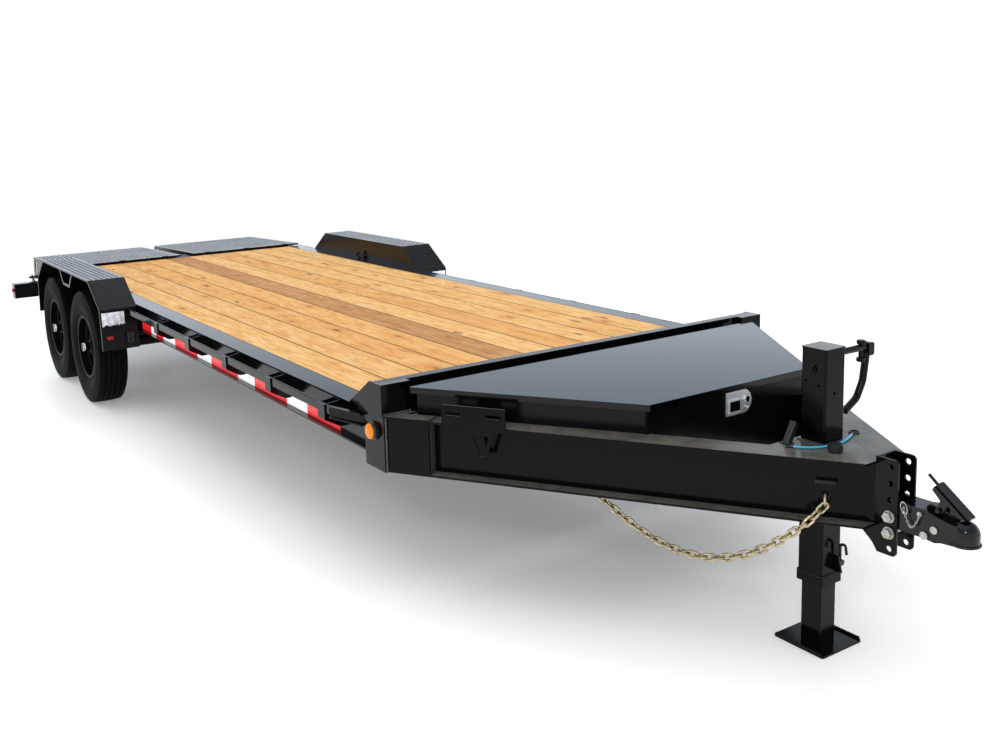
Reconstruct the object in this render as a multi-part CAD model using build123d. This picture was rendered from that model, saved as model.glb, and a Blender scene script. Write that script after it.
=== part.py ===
"""Tandem-axle car transporter trailer with a timber deck and two fold-over ramps.

Frame of the model: X forward to the coupler, Y to the trailer's left, Z up, ground at Z = 0.
The functions measure X from the front face of the deck and build the right-hand side,
which has negative Y. save() moves each node so that the origin lies on the ground under
the middle of the trailer's overall length.
"""
from build123d import *
from math import atan2, cos, degrees, hypot, pi, radians, sin, tan
import os

# ---------------------------------------------------------------- driving sizes, millimetres
# A size called ..._RISE or ..._DROP is measured up or down from the top of the deck.

# deck and frame
DECK_TOP = 728            # over the ground
DECK_LENGTH = 5490        # header's front face to the rear edge of the deck
TAIL_PLATE = 195          # steel end of the deck, under the ramps' front
FRAME_HALF = 1052         # centreline to the outer edge of the main rails
RAIL_DEPTH = 172
RAIL_FLANGE = 60
CAP_WIDTH = 108           # flat bar on top of each rail, flush with the boards
PLATE = 8                 # flanges, caps and gussets
WEB = 6                   # webs of rails and tongue beams
BOARD_THICK = 38
BOARD_COUNT = 10
BOARD_GAP = 3
CROSS_DEPTH = 76
CROSS_FLANGE = 36
CROSS_COUNT = 9
CROSS_WALL = 5
HEADER_DEPTH = 46         # header tube, along X
HEADER_RISE = 127
HEADER_WALL = 5
HEADER_CHANNEL = 60       # deep channel under the header, along X
POST_DEPTH = 32           # corner post in front of each end of the header
POST_WIDTH = 122

# tongue
TONGUE_DEPTH = 218
TONGUE_FLANGE = 108
TONGUE_ROOT = 22.3369     # how far the beams' outer edges, drawn on to the header's face, pass the rails
TONGUE_TIP_X = 1468       # where the beams are cut off
TONGUE_TIP_HALF = 99      # half width over the flanges at that cut
KNEE_FRONT_X = 42
KNEE_BOX = 178            # length of the boxed-in stretch of each beam
KNEE_CAP = 6
GUSSET_RUN = 248          # how far the corner gusset reaches back along the rail
GUSSET_TOP = 60
GUSSET_FOOT = 112

# rub rail and stake pockets
RUB_OFFSET = 60           # clear space between frame edge and rub rail
RUB_THICK = 10
RUB_HEIGHT = 38
RUB_END_HEIGHT = 50
RUB_DROP = 16
RUB_FRONT_X = -300
RUB_LIP = 18              # flanges of the angled end piece
POCKET_COUNT = 5
POCKET_FIRST_X = -366
POCKET_PITCH = 557
POCKET_OPEN = 52          # opening along X
POCKET_WALL = 6
POCKET_FACE = 66          # height of the pocket's outer strap, over the rub rail
POCKET_DROP = 122         # underside of a pocket

# toolbox
BOX_BACK_X = 65
BOX_FRONT_X = 829
BOX_BACK_INSET = 93       # lid's rear corners, inside the frame's edges
BOX_FRONT_HALF = 424
LID_RISE = 111
LID_SHEET = 3
LID_LIP = 24
BOX_SHEET = 3
BOX_INSET = 16            # box wall inside the lid's edge
BOX_FLOOR_DROP = 205
LATCH_Y = 18              # middle of the latch's straight part
LATCH_RISE = 37
LATCH_HALF = 46

# running gear
AXLE_LEAD = 1290          # halfway between the two axles, ahead of the deck's rear edge
AXLE_SPACING = 860
TYRE_RADIUS = 385
TYRE_WIDTH = 206
TYRE_OFFSET = 127         # tyre's middle plane outside the frame's edge
TREAD_HALF = 86
TREAD_GROOVES = 4
GROOVE_WIDTH = 9
GROOVE_DEPTH = 8
RIM_RADIUS = 203
RIM_LIP = 217
RIM_WIDTH = 165
RIM_WELL = 18
STUD_CIRCLE = 82.5
STUD_COUNT = 8
CAP_RADIUS = 48
CAP_REACH = 110           # hub cap's tip, outboard of the wheel's middle plane
AXLE_TUBE = 88
SPINDLE = 44
SPINDLE_REACH = 30        # spindle end beyond the wheel's middle plane
DRUM_RADIUS = 165
DRUM_OPEN = 92            # drum's open edge, inboard of the wheel's middle plane
PLATE_GAP = 7             # drum edge to backing plate
SPRING_HALF = 330
SPRING_WIDTH = 45
SPRING_INSET = 67         # spring's middle inside the frame's edge
SPRING_CAMBER = 26
LEAF = 9
LEAF_COUNT = 5
SPRING_EYE = 22
SHACKLE_BOLT = 16

# fender
FENDER_LEAD = 95          # fender's middle ahead of the axles', so the front gap is the wider one
FENDER_REACH_OUT = 243    # fender's outer edge outside the frame's edge
FENDER_GAP = 10           # its inner wall outside the frame's edge
FENDER_RISE = 153
FENDER_SHEET = 4
FENDER_TOP_HALF = 665
FENDER_BASE_HALF = 905
FENDER_FLARE = 22         # how much further the lower facets reach at their foot
FENDER_BEND_DROP = 9
FENDER_LOW_DROP = 269
FENDER_LIP = 10
HANGER_TOP_HALF = 200     # strap that hangs under the fender's outer edge
HANGER_FOOT_HALF = 92
HANGER_DROP = 112
HANGER_INSET = 12

# tail and ramps
RAMP_GAP = 58             # centreline to the inner edge of a ramp
RAMP_INSET = 12           # a ramp's outer edge inside the frame's edge
RAMP_DROP = 12
RAMP_BEHIND = 22          # side plates behind the deck's rear edge
RAMP_LENGTH = 928
RAMP_LAP = 212            # how far the tread plate reaches over the deck's end
RAMP_TILT = 1.7           # degrees that its front stands up, so that it clears the boards
RAMP_NOSE = 65            # depth of the side plates at the deck's end
RAMP_SIDE = 8
RAMP_DECK = 5
RAMP_REST = 7             # between a stowed ramp and the tail rails under it
CLEAT_COUNT = 5
CLEAT_PITCH = 176
HINGE_BACK = 12           # hinge pin behind the ramp's rear edge
HINGE_DROP = 190
HINGE_PIN = 20
HINGE_EYE = 44
HINGE_PIN_OUT = 38        # hinge pin's outer end outside the frame's edge
LUG_THICK = 12
BUMPER_BACK = 66          # bumper's rear face ahead of the hinge pin
BUMPER_DEPTH = 100
BUMPER_DROP = 217
BUMPER_HEIGHT = 127
BUMPER_OUT = 198          # bumper's end outside the frame's edge
BUMPER_WALL = 6
TAIL_DEPTH = 88
TAIL_FLANGE = 60

# jack
JACK_X = 1222
JACK_OUTER = 100
JACK_WALL = 6
JACK_RISE = 329
JACK_DROP = 486
COLLAR_TOP_DROP = 468
COLLAR_DROP = 504
COLLAR_WALL = 5
PIN_DROP = 425            # drop leg's spring pin, below the deck
JACK_CAP = 4
LEG_OUTER = 82
LEG_WALL = 6
LEG_LENGTH = 560
FOOT_SIZE = 208
FOOT_THICK = 8
FOOT_LIP = 8
CRANK_RISE = 293
CRANK_REACH = 252         # crank shaft's outer end, from the centreline
CRANK_RADIUS = 12

# coupler
BRACKET_WIDTH = 96
BRACKET_WALL = 7
BRACKET_WEB = 8
BRACKET_FRONT_X = 1549
BRACKET_RISE = 19
BRACKET_DROP = 300
EAR_HOLE = 20
EAR_PITCH = 54.5
EAR_HOLES = 6
EAR_FIRST = 25            # top hole below the top of the ear
EAR_EDGE = 27             # holes behind the ear's front edge
COUPLER_FIRST_HOLE = 3
COUPLER_BOLT = 19
BALL_X = 1748
BALL_DROP = 165
SOCKET_RADIUS = 30
SOCKET_DEPTH = 34
DOME_RADIUS = 42
BEAD = 5
LEVER_HALF = 15
LATCH_PIN = 7

# chains and rings
LINK_ROD = 9
LINK_PITCH = 32           # inside length of a link
LINK_WIDTH = 31
CHAIN_FRONT_S = 1642      # along a tongue beam's outer edge, where the chain is hung
CHAIN_BACK_S = 868
CHAIN_SAG = 190
CHAIN_CLEAR = 22          # chain outside the edge of the bottom flange
CHAIN_EYE_DROP = 118
CHAIN_RING = 20           # radius to the middle of the ring's rod
CHAIN_RING_TILT = 15
KEEPER_DROP = 26          # keeper's bar under the beam
KEEPER_ROD = 4
TIE_RING_ROD = 6
CABLE_RADIUS = 4
SWITCH_TILT = 30

# lights
MARKER_X = -35
MARKER_DROP = 66
MARKER_RADIUS = 30

# fits
RUN_GAP = 0.3             # between faces that turn or hang in each other
SLIDE_GAP = 0.8           # round the jack's leg where its collar guides it
SEAM = 0.4                # between neighbouring plates drawn as separate pieces
LID_GAP = 0.5

# ---------------------------------------------------------------- places worked out from them
RAMP_FRONT_X = -DECK_LENGTH - RAMP_BEHIND
RAMP_OUTER = FRAME_HALF - RAMP_INSET
HINGE_REACH = FRAME_HALF + HINGE_PIN_OUT
BUMPER_HALF = FRAME_HALF + BUMPER_OUT
HINGE_X = RAMP_FRONT_X - RAMP_LENGTH - HINGE_BACK
NOSE_X = BALL_X + DOME_RADIUS + BEAD
TAIL_X = HINGE_X - HINGE_EYE / 2
ORIGIN_SHIFT = -(NOSE_X + TAIL_X) / 2
RAIL_INNER = FRAME_HALF - CAP_WIDTH
WEB_Y = FRAME_HALF - RAIL_FLANGE / 2
RAIL_BOTTOM = DECK_TOP - RAIL_DEPTH
TONGUE_ANGLE = degrees(atan2(FRAME_HALF + TONGUE_ROOT - TONGUE_TIP_HALF, TONGUE_TIP_X))
TONGUE_BOTTOM = DECK_TOP - TONGUE_DEPTH
BOX_BACK_HALF = FRAME_HALF - BOX_BACK_INSET
TONGUE_WEB = TONGUE_FLANGE / 2 - WEB / 2
AXLE_MID_X = AXLE_LEAD - DECK_LENGTH
FENDER_MID_X = AXLE_MID_X + FENDER_LEAD
FENDER_OUTER = FRAME_HALF + FENDER_REACH_OUT
FENDER_INNER = FRAME_HALF + FENDER_GAP
TYRE_CENTRE_Y = FRAME_HALF + TYRE_OFFSET
SPRING_Y = FRAME_HALF - SPRING_INSET
AXLES_X = (AXLE_MID_X + AXLE_SPACING / 2, AXLE_MID_X - AXLE_SPACING / 2)
SPRING_SEAT = TYRE_RADIUS + AXLE_TUBE / 2 + PLATE
EYE_Z = SPRING_SEAT + LEAF * (LEAF_COUNT - 0.5) + SPRING_CAMBER
RUB_OUTER = FRAME_HALF + RUB_OFFSET + RUB_THICK
LID_TOP = DECK_TOP + LID_RISE
RAMP_TOP = DECK_TOP - RAMP_DROP
HINGE_Z = DECK_TOP - HINGE_DROP
BUMPER_X = HINGE_X + BUMPER_BACK
BUMPER_TOP = DECK_TOP - BUMPER_DROP
JACK_TOP = DECK_TOP + JACK_RISE
COLLAR_LOW = DECK_TOP - COLLAR_DROP
BRACKET_TOP = DECK_TOP + BRACKET_RISE
BALL_Z = DECK_TOP - BALL_DROP
BOLT_X = BRACKET_FRONT_X - EAR_EDGE
LATCH_PIN_X = BALL_X - 76
LATCH_PIN_Z = BALL_Z + 56
FENDER_REACH = FENDER_BASE_HALF + FENDER_FLARE + SEAM


# ---------------------------------------------------------------- small helpers
def block(x0, x1, y0, y1, z0, z1):
    """Box between two corners."""
    return Pos((x0 + x1) / 2, (y0 + y1) / 2, (z0 + z1) / 2) * Box(x1 - x0, y1 - y0, z1 - z0)


def side_plate(points, y0, y1):
    """Plate whose outline lies in the XZ plane, from y0 to y1."""
    outline = make_face(Polyline(*[(x, y0, z) for x, z in points], close=True))
    return extrude(outline, amount=y1 - y0, dir=(0, 1, 0))


def flat_plate(points, z0, z1):
    """Plate whose outline lies in the XY plane, from z0 to z1."""
    outline = make_face(Polyline(*[(x, y, z0) for x, y in points], close=True))
    return extrude(outline, amount=z1 - z0, dir=(0, 0, 1))


def cross_plate(points, x0, x1):
    """Plate whose outline lies in the YZ plane, from x0 to x1."""
    outline = make_face(Polyline(*[(x0, y, z) for y, z in points], close=True))
    return extrude(outline, amount=x1 - x0, dir=(1, 0, 0))


def rod_x(y, z, radius, x0, x1):
    return Pos((x0 + x1) / 2, y, z) * Rot(0, 90, 0) * Cylinder(radius, x1 - x0)


def rod_y(x, z, radius, y0, y1):
    return Pos(x, (y0 + y1) / 2, z) * Rot(90, 0, 0) * Cylinder(radius, y1 - y0)


def rod_z(x, y, radius, z0, z1):
    return Pos(x, y, (z0 + z1) / 2) * Cylinder(radius, z1 - z0)


def spun(points, axis=Axis.Y):
    """Solid of revolution about the Y axis; each point is (distance along Y, radius)."""
    outline = make_face(Polyline(*[(0, along, radius) for along, radius in points], close=True))
    return revolve(outline, axis=axis)


def bent_rod(points, radius, bend):
    """Round bar along a path with rounded corners."""
    path = FilletPolyline(*points, radius=bend)
    start = Plane(origin=path @ 0, z_dir=path % 0)
    return sweep(start * Circle(radius), path=path)


def upright_edges(solid):
    return solid.edges().filter_by(Axis.Z)


def other_side(shape):
    """The same piece on the trailer's left."""
    return mirror(shape, about=Plane.XZ)


def both_sides(*shapes):
    return list(shapes) + [other_side(shape) for shape in shapes]


def save(name, *shapes):
    """Write one node, moved to the origin under the middle of the trailer."""
    solids = [solid for shape in shapes for solid in shape.solids()]
    moved = [Pos(ORIGIN_SHIFT, 0, 0) * solid for solid in solids]
    node = Compound(children=moved) if len(moved) > 1 else moved[0]
    export_step(node, f"parts/{name}.step")


def save_pair(name, *right):
    """Write a piece and its mirror image."""
    save(f"{name}_right", *right)
    save(f"{name}_left", *[other_side(shape) for shape in right])


# ---------------------------------------------------------------- frame
def beam_section(flange, depth):
    """I-beam outline: outer flange edge at 0, top at 0, web in the middle."""
    near = flange / 2 - WEB / 2
    far = flange / 2 + WEB / 2
    return [(0, 0), (flange, 0), (flange, -PLATE), (far, -PLATE), (far, PLATE - depth),
            (flange, PLATE - depth), (flange, -depth), (0, -depth),
            (0, PLATE - depth), (near, PLATE - depth), (near, -PLATE), (0, -PLATE)]


def main_rail():
    """I-beam under a wider cap bar; the cap's top is level with the boards."""
    beam = cross_plate(beam_section(RAIL_FLANGE, RAIL_DEPTH), -DECK_LENGTH, 0)
    cap = cross_plate([(0, 0), (CAP_WIDTH, 0), (CAP_WIDTH, -PLATE), (0, -PLATE)], -DECK_LENGTH, 0)
    strap, ring = tie_ring()
    return Pos(0, -FRAME_HALF, DECK_TOP) * (beam + cap + strap), Pos(0, -FRAME_HALF, DECK_TOP) * ring


def tie_ring():
    """Three-cornered lashing ring, stood up beside the fender, and the strap that holds its foot."""
    x = FENDER_MID_X
    y = CAP_WIDTH * 0.24
    z = TIE_RING_ROD + RUN_GAP
    slot = TIE_RING_ROD + RUN_GAP
    strap = rod_x(y, z, slot + 4, x - 16, x + 16) - rod_x(y, z, slot, x - 16, x + 16)
    strap &= block(x - 16, x + 16, 0, CAP_WIDTH, 0, 50)
    sides = block(x - 16, x + 16, y - slot - 4, y + slot + 4, 0, z) - block(x - 16, x + 16, y - slot, y + slot, 0, z)
    path = FilletPolyline((x - 34, y, z), (x + 34, y, z), (x, y, z + 58), radius=10, close=True)
    ring = sweep(Plane(origin=path @ 0, z_dir=path % 0) * Circle(TIE_RING_ROD), path=path)
    return strap + sides, ring


def tongue_outer_half(x):
    """Half width over the tongue beams at a distance x ahead of the deck."""
    return TONGUE_TIP_HALF + (TONGUE_TIP_X - x) * tan(radians(TONGUE_ANGLE))


def tongue_inner_half(x):
    """Half width between the inner flange edges of the tongue beams."""
    return tongue_outer_half(x) - TONGUE_FLANGE / cos(radians(TONGUE_ANGLE))


def tongue_place():
    """Place of the right tongue beam: its own X runs forward along the outer flange edge,
    its own Y runs inboard and its own Z starts at the top of the deck."""
    return Pos(0, -tongue_outer_half(0), DECK_TOP) * Rot(0, 0, TONGUE_ANGLE)


def along_tongue(x):
    """Distance along a beam's outer edge to a point x ahead of the deck."""
    return x / cos(radians(TONGUE_ANGLE))


def chain_eye():
    """Hooded lug on the outer face of the tongue's web, with a hole for the chain's ring."""
    s = CHAIN_FRONT_S
    lug = [(s - 34, -88), (s + 34, -88), (s + 34, -108), (s + 14, -138), (s - 14, -138), (s - 34, -108)]
    face = chain_eye_face()
    plate = side_plate(lug, face, face + PLATE)
    hood = block(s - 34, s + 34, face, TONGUE_WEB, -96, -86)
    hole = rod_y(s, -CHAIN_EYE_DROP, LINK_ROD * 1.1, face - 20, face + 20)
    return plate + hood - hole


def chain_eye_face():
    """Outer face of the chain's lug, inboard of the flange's edge."""
    return TONGUE_WEB - 34


def tongue_beam():
    reach = along_tongue(TONGUE_TIP_X) + TONGUE_FLANGE
    section = beam_section(TONGUE_FLANGE, TONGUE_DEPTH)
    beam = tongue_place() * cross_plate(section, -TONGUE_FLANGE, reach)
    room = block(0, TONGUE_TIP_X, -FRAME_HALF, -SEAM, 0, DECK_TOP + 10)
    keeper = chain_keeper()
    return (beam & room) + tongue_place() * (chain_eye() + keeper)


def chain_keeper():
    """Small loop under the beam that holds the free end of the chain."""
    s = CHAIN_BACK_S
    inner = TONGUE_FLANGE - 24
    top = -TONGUE_DEPTH
    low = top - KEEPER_DROP
    loop = bent_rod([(s, inner - 20, top - 1), (s, inner - 20, low), (s, inner + 20, low), (s, inner + 20, top - 1)],
                    KEEPER_ROD, 10)
    return loop + block(s - 8, s + 8, inner - 26, inner + 26, top - 3, top)


def knee():
    """Corner where rail, header and tongue meet: gusset, boxed beam, its return and a cap."""
    top = DECK_TOP + HEADER_RISE
    outline = [(-GUSSET_RUN, DECK_TOP), (-GUSSET_TOP, top), (POST_DEPTH, top),
               (POST_DEPTH, DECK_TOP), (KNEE_FRONT_X, DECK_TOP),
               (KNEE_FRONT_X, TONGUE_BOTTOM), (-GUSSET_FOOT, TONGUE_BOTTOM),
               (-GUSSET_FOOT, DECK_TOP - PLATE), (-GUSSET_RUN, DECK_TOP - PLATE)]
    gusset = side_plate(outline, -FRAME_HALF - PLATE, -FRAME_HALF)
    post = block(0, POST_DEPTH, -FRAME_HALF, POST_WIDTH - FRAME_HALF, DECK_TOP, top)
    start = along_tongue(KNEE_FRONT_X)
    end = start + KNEE_BOX
    low = PLATE - TONGUE_DEPTH
    cheek = block(start, end, 0, PLATE, low, -PLATE)
    back = block(end - PLATE, end, PLATE, TONGUE_WEB, low, -PLATE)
    cap = block(start - 20, end + 6, -PLATE, TONGUE_FLANGE - 10, 0, KNEE_CAP)
    cap = tongue_place() * fillet(upright_edges(cap), 12)
    cap &= block(POST_DEPTH, BOX_BACK_X + 300, -FRAME_HALF - PLATE, 0, DECK_TOP, DECK_TOP + KNEE_CAP)
    under_lid = flat_plate(box_outline(-4), DECK_TOP, DECK_TOP + KNEE_CAP)
    return gusset + post, tongue_place() * (cheek + back), cap - under_lid


def header():
    """Raised tube across the front of the deck and the deep channel under it."""
    half = FRAME_HALF
    wall = HEADER_WALL
    tube = block(-HEADER_DEPTH, 0, -half, half, DECK_TOP, DECK_TOP + HEADER_RISE)
    tube -= block(wall - HEADER_DEPTH, -wall, wall - half, half - wall,
                  DECK_TOP + wall, DECK_TOP + HEADER_RISE - wall)
    reach = WEB_Y - WEB / 2
    channel = block(-HEADER_CHANNEL, 0, -reach, reach, TONGUE_BOTTOM, DECK_TOP)
    channel -= block(-HEADER_CHANNEL, -PLATE, -reach, reach, TONGUE_BOTTOM + PLATE, DECK_TOP - PLATE)
    rails = block(-HEADER_CHANNEL, 0, -reach, reach, RAIL_BOTTOM, DECK_TOP)
    rails -= block(-HEADER_CHANNEL, 0, -RAIL_INNER, RAIL_INNER, RAIL_BOTTOM, DECK_TOP)
    return tube + (channel - rails)


def crossmembers():
    """Channels that carry the boards, between the rails' webs."""
    top = DECK_TOP - BOARD_THICK
    wall = CROSS_WALL
    outline = [(0, 0), (CROSS_FLANGE, 0), (CROSS_FLANGE, -wall), (wall, -wall),
               (wall, wall - CROSS_DEPTH), (CROSS_FLANGE, wall - CROSS_DEPTH),
               (CROSS_FLANGE, -CROSS_DEPTH), (0, -CROSS_DEPTH)]
    reach = WEB_Y - WEB / 2
    channel = side_plate(outline, -reach, reach)
    first = -HEADER_CHANNEL - 500
    last = -DECK_LENGTH + wall
    step = (last - first) / (CROSS_COUNT - 1)
    return [Pos(first + step * i, 0, top) * channel for i in range(CROSS_COUNT)]


def deck_end():
    """Folded plate that closes the deck behind the boards; it stands on the last crossmember."""
    rear = -DECK_LENGTH
    front = rear + TAIL_PLATE - BOARD_GAP
    low = DECK_TOP - BOARD_THICK
    under = DECK_TOP - PLATE
    outline = [(rear, low), (rear, DECK_TOP), (front, DECK_TOP), (front, low), (front - PLATE, low),
               (front - PLATE, under), (rear + PLATE, under), (rear + PLATE, low)]
    half = RAIL_INNER - BOARD_GAP / 2
    return side_plate(outline, -half, half)


def deck_boards():
    pitch = 2 * RAIL_INNER / BOARD_COUNT
    front = -HEADER_CHANNEL - 4
    boards = []
    for i in range(BOARD_COUNT):
        low = -RAIL_INNER + pitch * i + BOARD_GAP / 2
        boards.append(block(TAIL_PLATE - DECK_LENGTH, front, low, low + pitch - BOARD_GAP,
                            DECK_TOP - BOARD_THICK, DECK_TOP))
    return boards


# ---------------------------------------------------------------- rub rail
def rub_bar(x0, x1):
    top = DECK_TOP - RUB_DROP
    bar = block(x0, x1, -RUB_OUTER, RUB_THICK - RUB_OUTER, top - RUB_HEIGHT, top)
    return fillet(bar.edges().filter_by(Axis.X), RUB_THICK * 0.4)


def rub_end():
    """Angled channel that leads from the rub rail in to the corner gusset."""
    top = DECK_TOP - RUB_DROP
    low = top - RUB_END_HEIGHT
    end_x = -GUSSET_FOOT - SEAM
    inner = -FRAME_HALF - SEAM
    web = flat_plate([(RUB_FRONT_X, RUB_THICK - RUB_OUTER), (RUB_FRONT_X, -RUB_OUTER + 1),
                      (end_x, inner - RUB_THICK + 1), (end_x, inner)], low, top)
    plan = [(RUB_FRONT_X, RUB_THICK - RUB_OUTER), (RUB_FRONT_X, -RUB_OUTER - 1), (RUB_FRONT_X + 14, -RUB_OUTER - 1),
            (end_x, inner - RUB_LIP - 8), (end_x, inner)]
    return web + flat_plate(plan, low, low + 6) + flat_plate(plan, top - 6, top)


def rub_rail():
    """Bar along the deck's edge, broken by the fender, with an angled front end."""
    front = rub_bar(FENDER_MID_X + FENDER_REACH, RUB_FRONT_X) + rub_end()
    rear = rub_bar(-DECK_LENGTH, FENDER_MID_X - FENDER_REACH)
    return front, rear


def pocket_places():
    """X of every stake pocket on one side."""
    front = [POCKET_FIRST_X - POCKET_PITCH * i for i in range(POCKET_COUNT)]
    rear = (FENDER_MID_X - FENDER_REACH - DECK_LENGTH) / 2
    return front + [rear]


def stake_pocket(x):
    """Folded pocket between the rail's web and the rub rail, open at top and bottom."""
    outer = RUB_THICK - RUB_OUTER
    web = -WEB_Y - WEB / 2
    edge = -FRAME_HALF - POCKET_WALL
    half = POCKET_OPEN / 2
    top = DECK_TOP - PLATE
    rub_low = DECK_TOP - RUB_DROP - RUB_HEIGHT
    low = DECK_TOP - POCKET_DROP
    rim = DECK_TOP - RUB_DROP
    face = -RUB_OUTER - POCKET_WALL
    face_low = rim - POCKET_FACE
    cheek = [(web, top), (-FRAME_HALF, top), (outer, rim), (outer, rub_low), (face, rub_low), (face, face_low),
             (edge, low), (web, low)]
    walls = cross_plate(cheek, x - half - POCKET_WALL, x - half)
    walls += cross_plate(cheek, x + half, x + half + POCKET_WALL)
    walls += block(x - half, x + half, edge, -FRAME_HALF, low, top)
    return walls + block(x - half - POCKET_WALL, x + half + POCKET_WALL, face, -RUB_OUTER, face_low, rim)


# ---------------------------------------------------------------- toolbox
def box_outline(inset):
    """Plan of the toolbox lid, moved inwards by an inset."""
    slope = (BOX_BACK_HALF - BOX_FRONT_HALF) / (BOX_FRONT_X - BOX_BACK_X)
    side = inset * hypot(1, slope)
    back = BOX_BACK_X + inset
    front = BOX_FRONT_X - inset
    half_back = BOX_BACK_HALF - inset * slope - side
    half_front = BOX_FRONT_HALF + inset * slope - side
    return [(back, -half_back), (front, -half_front), (front, half_front), (back, half_back)]


def tray_outline(inset):
    """Plan of the lower tray, between the beams' inner flange edges."""
    back = BOX_BACK_X + BOX_INSET + inset
    front = BOX_FRONT_X - BOX_INSET - inset
    side = 1 + inset / cos(radians(TONGUE_ANGLE))
    half_back = tongue_inner_half(back) - side
    half_front = tongue_inner_half(front) - side
    return [(back, -half_back), (front, -half_front), (front, half_front), (back, half_back)]


def toolbox():
    """Folded sheet box: a tray between the beams and a collar that stands on their flanges."""
    wall = BOX_SHEET
    rim = LID_TOP - LID_SHEET - LID_GAP
    floor = DECK_TOP - BOX_FLOOR_DROP
    collar = flat_plate(box_outline(BOX_INSET), DECK_TOP, rim)
    collar -= flat_plate(box_outline(BOX_INSET + wall), DECK_TOP + wall, rim)
    body = collar + flat_plate(tray_outline(0), floor, DECK_TOP)
    body -= flat_plate(tray_outline(wall), floor + wall, DECK_TOP + wall)
    corner = BOX_FRONT_HALF - BOX_INSET * 0.7
    front = BOX_FRONT_X - BOX_INSET
    for side in (-1, 1):
        seam = block(front - 14, front + 1.5, side * corner - 9, side * corner + 9, DECK_TOP, LID_TOP - LID_LIP)
        body += seam - flat_plate(box_outline(BOX_INSET + wall), DECK_TOP, LID_TOP)
    return body


def toolbox_lid():
    top = flat_plate(box_outline(0), LID_TOP - LID_LIP, LID_TOP)
    corners = upright_edges(top)
    top = fillet(corners, 6)
    return top - flat_plate(box_outline(LID_SHEET), LID_TOP - LID_LIP, LID_TOP - LID_SHEET)


def toolbox_latch():
    """Paddle latch: a pan with one rounded side, a paddle and a key lock."""
    x = BOX_FRONT_X - BOX_INSET
    z = DECK_TOP + LATCH_RISE
    high = LATCH_HALF
    pan = block(x, x + 4, LATCH_Y - high, LATCH_Y + high, z - high, z + high)
    pan += rod_x(LATCH_Y + high, z, high, x, x + 4)
    pan -= block(x + 1.5, x + 4, LATCH_Y - high + 8, LATCH_Y + high - 12, z - high + 8, z + high - 8)
    paddle = block(x + 1.5, x + 10, LATCH_Y - high + 14, LATCH_Y + high - 20, z - high + 14, z + 12)
    paddle = fillet(paddle.edges().filter_by(Axis.X), 5)
    lock = rod_x(LATCH_Y + high + 16, z + 8, 11, x + 4, x + 12)
    return pan, paddle, lock


# ---------------------------------------------------------------- tongue fittings
def slotted_plate():
    """Plate with two slots and a tapered bracket, on the outside of the right tongue beam."""
    start = 286
    length = 255
    plate = block(start, start + length, -6, 0, -17, 74)
    plate = fillet(plate.edges().filter_by(Axis.Y), 4)
    for middle in (start + 48, start + length - 48):
        slot = block(middle - 30, middle + 30, -6, 0, 34, 48)
        plate -= fillet(slot.edges().filter_by(Axis.Y), 6)
    middle = start + length * 0.62
    vee = side_plate([(middle - 52, -17), (middle + 52, -17), (middle + 16, -131), (middle - 16, -131)], -6, 0)
    vee -= side_plate([(middle - 32, -34), (middle + 32, -34), (middle + 6, -112), (middle - 6, -112)], -6, 0)
    return tongue_place() * (plate + vee)


def nose_plate():
    """Plate that closes the tongue round the jack."""
    back = JACK_X - JACK_OUTER / 2 - 22
    overlap = TONGUE_FLANGE / cos(radians(TONGUE_ANGLE)) - TONGUE_TIP_HALF
    cross_x = TONGUE_TIP_X - overlap / tan(radians(TONGUE_ANGLE)) - 3
    half = tongue_inner_half(back) - SEAM * 2
    plate = flat_plate([(back, -half), (cross_x, -1), (cross_x, 1), (back, half)], DECK_TOP - PLATE, DECK_TOP)
    hole = JACK_OUTER / 2
    return plate - block(JACK_X - hole, JACK_X + hole, -hole, hole, 0, DECK_TOP + 50)


def ear_heights():
    return [BRACKET_TOP - EAR_FIRST - EAR_PITCH * i for i in range(EAR_HOLES)]


def coupler_heights():
    """Heights of the two holes that the coupler's own bolts use."""
    return ear_heights()[COUPLER_FIRST_HOLE:COUPLER_FIRST_HOLE + 2]


def coupler_bracket():
    """Upright channel with two drilled ears and gussets back to the beams."""
    half = BRACKET_WIDTH / 2
    low = DECK_TOP - BRACKET_DROP
    web_x = TONGUE_TIP_X
    outline = [(web_x, BRACKET_TOP), (BRACKET_FRONT_X, BRACKET_TOP), (BRACKET_FRONT_X, low),
               (web_x + 12, low), (web_x - 6, low + 26), (web_x - 74, TONGUE_BOTTOM), (web_x, TONGUE_BOTTOM)]
    ear = side_plate(outline, -half, BRACKET_WALL - half)
    front = ear.edges().filter_by(Axis.Y).group_by(Axis.X)[-1]
    ear = fillet(front, 16)
    for z in ear_heights():
        ear -= rod_y(BOLT_X, z, EAR_HOLE / 2, -half, BRACKET_WALL - half)
    web = block(web_x, web_x + BRACKET_WEB, BRACKET_WALL - half, half - BRACKET_WALL, low + 26, BRACKET_TOP)
    return ear + other_side(ear) + web


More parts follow.
